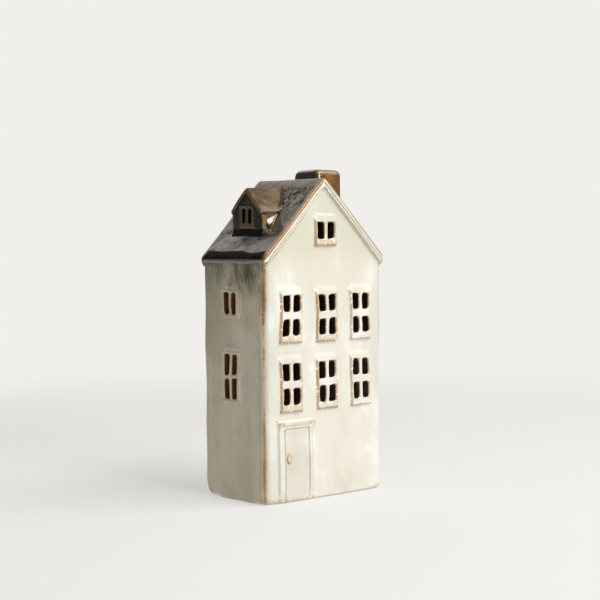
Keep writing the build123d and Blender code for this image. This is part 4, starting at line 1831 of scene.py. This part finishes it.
@dataclass
class Door:
    """The front door: a stepped surround, a leaf and a drop-shaped knob."""

    workshop: Workshop
    glaze: CreamGlaze = field(default_factory=CreamGlaze)
    middle: float = -23.3
    leaf: tuple[float, float] = (18.6, 42.4)
    border: float = 4.8
    foot: float = 0.5
    knob_place: tuple[float, float] = (-29.7, 25.8)
    seat: float = 0.14
    sunk: float = 0.9
    slot: str = "cream_glaze"

    def build(self) -> None:
        """Shape and glaze the door."""
        self.surround()
        self.panel()
        self.knob()

    def lay(self, across: Points, up: Points, height: Points, inner: Points) -> Points:
        """Give places in the house for a raised net on the wall, its inner skin sunk in."""
        out = height + (-self.sunk - height) * inner
        return Face.FRONT.places(self.middle + across, up, out)

    @staticmethod
    def lump(across: Points, up: Points, size: tuple[float, float]) -> Points:
        """A soft lump of glaze round the place where both measures are nothing."""
        return np.exp(-np.square(np.hypot(across / size[0], up / size[1])))

    def surround(self) -> None:
        """Shape the surround, open at the foot and round the leaf."""
        half, top = self.leaf[0] / 2, self.leaf[1]
        outer, head = half + self.border, top + self.border
        at_edge, at_leaf = (-0.5, -0.25, 0, 0.25, 0.5, 0.8), (0, 0.2, 0.45, 1.4, 1.7, 2.0, 2.3)
        marks = [*(outer + s for s in at_edge), *(half + s for s in at_leaf)]
        rows = [self.foot, *(head + s for s in at_edge), *(top + s for s in at_leaf)]
        sheet = Sheet(net([side * m for side in SIDES for m in marks], 0.9), net(rows, 1.6))
        sheet.open(lambda p: abs(p.x) < half and p.y < top).thicken(2)

        def where(across: Points, up: Points, inner: Points) -> Points:
            """Lay the surround on the wall."""
            from_leaf = np.maximum(np.abs(across) - half, up - top)
            from_edge = np.minimum(outer - np.abs(across), head - up)
            corner = np.hypot(np.maximum(np.abs(across) - outer + 1.2, 0),
                              np.maximum(up - head + 1.2, 0))
            from_edge = np.minimum(from_edge, 1.2 - corner)
            rise = 1.3 * ramp(from_edge, -0.6, 0.7)
            rise = rise - 0.45 * ramp(from_leaf, 2.3, 1.5) - 0.75 * ramp(from_leaf, 0.45, 0.0)
            height = rise * (0.25 + 0.75 * ramp(up, 1.5, 9.0)) - self.seat
            height = height + 0.7 * self.lump(across + outer - 2.4, up - head + 0.6, (3.0, 2.0))
            return self.lay(across, up, height, inner)

        sheet.place(where)
        self.workshop.finish(sheet.bm, Label("door_surround", self.slot), self.glaze)

    def panel(self) -> None:
        """Shape the leaf, a little pillowed."""
        half, top = self.leaf[0] / 2, self.leaf[1]
        steps = (0, 0.15, 0.35, 0.6, 1.0)
        sheet = Sheet(net([side * (half - s) for s in steps for side in SIDES], 1.2),
                      net([self.foot, *(top - s for s in steps)], 1.5)).thicken(2)

        def where(across: Points, up: Points, inner: Points) -> Points:
            """Lay the leaf on the wall."""
            inside = np.minimum(half - np.abs(across), top - up)
            height = -0.12 + 0.62 * ramp(inside, 0, 0.7)
            height = height - 0.22 * ramp(inside, 0.9, 4.0)
            height = height + 0.8 * self.lump(across - half + 3.4, up - 6.5, (1.5, 1.7))
            return self.lay(across, up, height, inner)

        sheet.place(where)
        self.workshop.finish(sheet.bm, Label("door_leaf", self.slot), self.glaze)

    def knob(self) -> None:
        """Shape the knob, narrow at its top."""
        bm = bmesh.new()
        bmesh.ops.create_uvsphere(bm, u_segments=28, v_segments=18, radius=1)
        for vert in bm.verts:
            x, y, z = vert.co
            width = 2.1 * (1 - 0.4 * max(z, 0) ** 1.2)
            vert.co = (self.knob_place[0] + x * width, -HOUSE.half_depth - 0.35 + y * 1.0,
                       self.knob_place[1] + z * 3.2)
        self.workshop.finish(bm, Label("door_knob", self.slot), self.glaze)


# ---------------------------------------------------------------- tealight


@dataclass
class Tealight:
    """The tealight: pressed cup, wax, steel base and wick."""

    workshop: Workshop
    bottom: float = 5.3
    radius: float = 19.0
    height: float = 16.0
    wax_level: float = 13.5

    def build(self) -> None:
        """Shape and finish the tealight."""
        self.cup()
        self.wax()
        self.wick()
        self.workshop.dress_packed("wick_base",
                                   PressedMetal("tinned_steel", (0.62, 0.61, 0.58), 0.3))

    def turn(self, outline: Sequence[tuple[float, float]], steps: int) -> bmesh.types.BMesh:
        """Turn an outline round the tealight's axis.

        Args:
            outline: radii and heights over the tealight's bottom, from axis or rim on.
            steps: how many steps the full turn has.

        Returns:
            The turned shape.
        """
        bm = bmesh.new()
        verts = [bm.verts.new((r, 0, self.bottom + z)) for r, z in outline]
        edges = [bm.edges.new(pair) for pair in zip(verts, verts[1:])]
        bmesh.ops.spin(bm, geom=[*verts, *edges], cent=(0, 0, 0), axis=(0, 0, 1),
                       angle=2 * math.pi, steps=steps, use_merge=True)
        bmesh.ops.remove_doubles(bm, verts=bm.verts[:], dist=2 * WELD)
        return bm

    def cup(self) -> None:
        """Press the cup, with a rolled lip and a stepped foot."""
        r, h = self.radius, self.height
        outline = [(0, 0.35), (12.5, 0.35), (13.2, 0.05), (r - 1.4, 0.0), (r - 0.5, 0.25),
                   (r - 0.1, 0.9), (r, 1.6), (r, h - 1.6), (r - 0.02, h - 0.7),
                   (r + 0.3, h - 0.6), (r + 0.48, h - 0.35), (r + 0.4, h - 0.08),
                   (r + 0.1, h), (r - 0.3, h - 0.15), (r - 0.4, h - 0.6),
                   (r - 0.4, 1.6), (r - 0.5, 1.0), (r - 1.2, 0.5), (r - 2, 0.4), (13.4, 0.45),
                   (12.6, 0.75), (0, 0.75)]
        bm = self.turn(outline, 96)
        for vert in bm.verts:
            ring = math.hypot(vert.co.x, vert.co.y)
            if ring > r - 0.45 and 1.5 < vert.co.z - self.bottom < h - 1.5:
                vert.co.xy *= 1 - 0.0035 * (1 + math.cos(48 * math.atan2(vert.co.y, vert.co.x)))
        self.workshop.finish(bm, Label("candle_cup", "cup_metal", Body.TEALIGHT),
                             PressedMetal("aluminium", (0.86, 0.86, 0.85), 0.24), drifts=False)

    def wax(self) -> None:
        """Pour the wax, risen a little against the cup and round the wick."""
        r, level = self.radius - 0.45, self.wax_level
        outline = [(0.85, level + 0.1), (1.6, level - 0.35), (3.4, level - 0.6),
                   (9, level - 0.7), (15, level - 0.62), (17.4, level - 0.4),
                   (r - 0.3, level - 0.1), (r, level), (r, 1.6), (r - 0.6, 0.95),
                   (7.2, 0.95), (7.0, 1.0), (1.5, 1.0), (1.5, 3.95), (0.85, 3.95),
                   (0.85, level + 0.1)]
        bm = self.turn(outline, 72)
        self.workshop.finish(bm, Label("wax", "wax", Body.TEALIGHT), CandleWax(),
                             drifts=False)

    def wick(self) -> None:
        """Braid the wick, leaning a little at its tip."""
        outline = [(0, 0.9)] + [(0.75 + 0.04 * (i % 2), 0.9 + i * 0.44) for i in range(42)]
        top = self.wax_level + 6.0
        outline = [(r, z) for r, z in outline if z < top - 0.5] + [(0.55, top - 0.3), (0, top)]
        bm = self.turn(outline, 16)
        for vert in bm.verts:
            free = max(vert.co.z - self.bottom - self.wax_level, 0)
            turned = math.atan2(vert.co.y, vert.co.x) * 2 + vert.co.z * 3
            vert.co.xy *= 0.95 + 0.04 * math.cos(turned)
            vert.co.x += 0.012 * free**2
        self.workshop.finish(bm, Label("wick", "wick_cotton", Body.TEALIGHT), WickCotton(),
                             drifts=False)


# ---------------------------------------------------------------- studio


@dataclass
class Studio:
    """Pale paper floor, soft lights and the camera of the photograph."""

    focal_pixels: float = 1477.7
    frame_pixels: float = 600.0
    yaw: float = 42.21
    pitch: float = 2.28
    roll: float = -0.39
    eye: tuple[float, float, float] = (-588.43, -654.91, 149.55)
    paper: StudioPaper = field(default_factory=StudioPaper)

    def build(self) -> None:
        """Set up the studio."""
        scene = bpy.context.scene
        scene.view_settings.view_transform = "Standard"
        self.camera(scene)
        self.floor(scene)
        self.surroundings(scene)
        self.lamp("key", (-0.10, -2.2, 0.62), (0, 0, 0.1), (0.7, 0.7), 16.0)
        self.lamp("overhead", (0.33, -0.7, 1.12), (0, 0, 0.15), (1.4, 0.42), 11.8)
        self.lamp("back_panel", (0.42, 1.3, 1.25), (0, 0, 0.15), (1.1, 0.8), 1.0,
                  (1.0, 0.95, 0.88))

    def camera(self, scene: bpy.types.Scene) -> None:
        """Place the camera where the photograph was taken from."""
        data = bpy.data.cameras.new("camera")
        camera = bpy.data.objects.new("camera", data)
        scene.collection.objects.link(camera)
        scene.camera = camera
        data.sensor_width = 36.0
        data.lens = data.sensor_width * self.focal_pixels / self.frame_pixels
        data.clip_start, data.clip_end = 0.05, 50
        yaw, pitch, roll = (math.radians(a) for a in (self.yaw, self.pitch, self.roll))
        back = Vector((-math.sin(yaw) * math.cos(pitch), -math.cos(yaw) * math.cos(pitch),
                       math.sin(pitch)))
        right = Vector((math.cos(yaw), -math.sin(yaw), 0))
        up = back.cross(right)
        right, up = (math.cos(roll) * right + math.sin(roll) * up,
                     math.cos(roll) * up - math.sin(roll) * right)
        turned = Matrix((right, up, back)).transposed().to_4x4()
        camera.matrix_world = Matrix.Translation(Vector(self.eye) * TO_METRES) @ turned

    def floor(self, scene: bpy.types.Scene) -> None:
        """Lay the paper."""
        bm = bmesh.new()
        bmesh.ops.create_circle(bm, cap_ends=True, segments=64, radius=1.1)
        mesh = bpy.data.meshes.new("studio_floor")
        bm.to_mesh(mesh)
        bm.free()
        floor = bpy.data.objects.new("studio_floor", mesh)
        scene.collection.objects.link(floor)
        mesh.materials.append(self.paper.material())

    def surroundings(self, scene: bpy.types.Scene) -> None:
        """Fill the room with pale light."""
        world = bpy.data.worlds.new("studio_light")
        scene.world = world
        world.use_nodes = True
        tree = world.node_tree
        tree.nodes.clear()
        output = tree.nodes.new("ShaderNodeOutputWorld")
        seen, unseen = (tree.nodes.new("ShaderNodeBackground") for _ in range(2))
        for node, strength in ((seen, 1.0), (unseen, 0.28)):
            node.inputs["Color"].default_value = (*self.paper.glow, 1)
            node.inputs["Strength"].default_value = strength
        path, mix = tree.nodes.new("ShaderNodeLightPath"), tree.nodes.new("ShaderNodeMixShader")
        tree.links.new(mix.inputs[0], path.outputs["Is Camera Ray"])
        tree.links.new(mix.inputs[1], unseen.outputs[0])
        tree.links.new(mix.inputs[2], seen.outputs[0])
        tree.links.new(output.inputs["Surface"], mix.outputs[0])

    @staticmethod
    def lamp(name: str, place: Sequence[float], aim: Sequence[float],
             size: tuple[float, float], brightness: float,
             colour: Colour = (1.0, 1.0, 1.0)) -> None:
        """Hang one soft lamp that the camera doesn't see.

        Args:
            name: the lamp's name.
            place: where it hangs, in metres.
            aim: what it points at, in metres.
            size: its width and height in metres.
            brightness: how bright its cloth is, where 1 is a white wall in full light.
            colour: the colour of its light.
        """
        data = bpy.data.lights.new(name, "AREA")
        data.shape, data.size, data.size_y = "RECTANGLE", *size
        data.energy, data.color = brightness * math.pi * size[0] * size[1], colour
        lamp = bpy.data.objects.new(name, data)
        lamp.visible_camera = False
        bpy.context.scene.collection.objects.link(lamp)
        lamp.location = place
        lamp.rotation_euler = (Vector(aim) - Vector(place)).to_track_quat("-Z", "Y").to_euler()


def main() -> None:
    """Build every piece in order, and the studio around them."""
    logging.basicConfig(level=logging.INFO, format="%(name)s: %(message)s")
    workshop = Workshop()
    frames = [*front_frames(), *side_frames(Face.LEFT), *side_frames(Face.RIGHT)]
    Studio().build()
    Walls(workshop, frames).build()
    for window in frames:
        window.build(workshop, "cream_glaze", CreamGlaze())
    Door(workshop).build()
    Roof(workshop).build()
    Dormer(workshop, dormer_frame()).build()
    Chimney(workshop).build()
    Tealight(workshop).build()


if __name__ == "__main__":
    main()
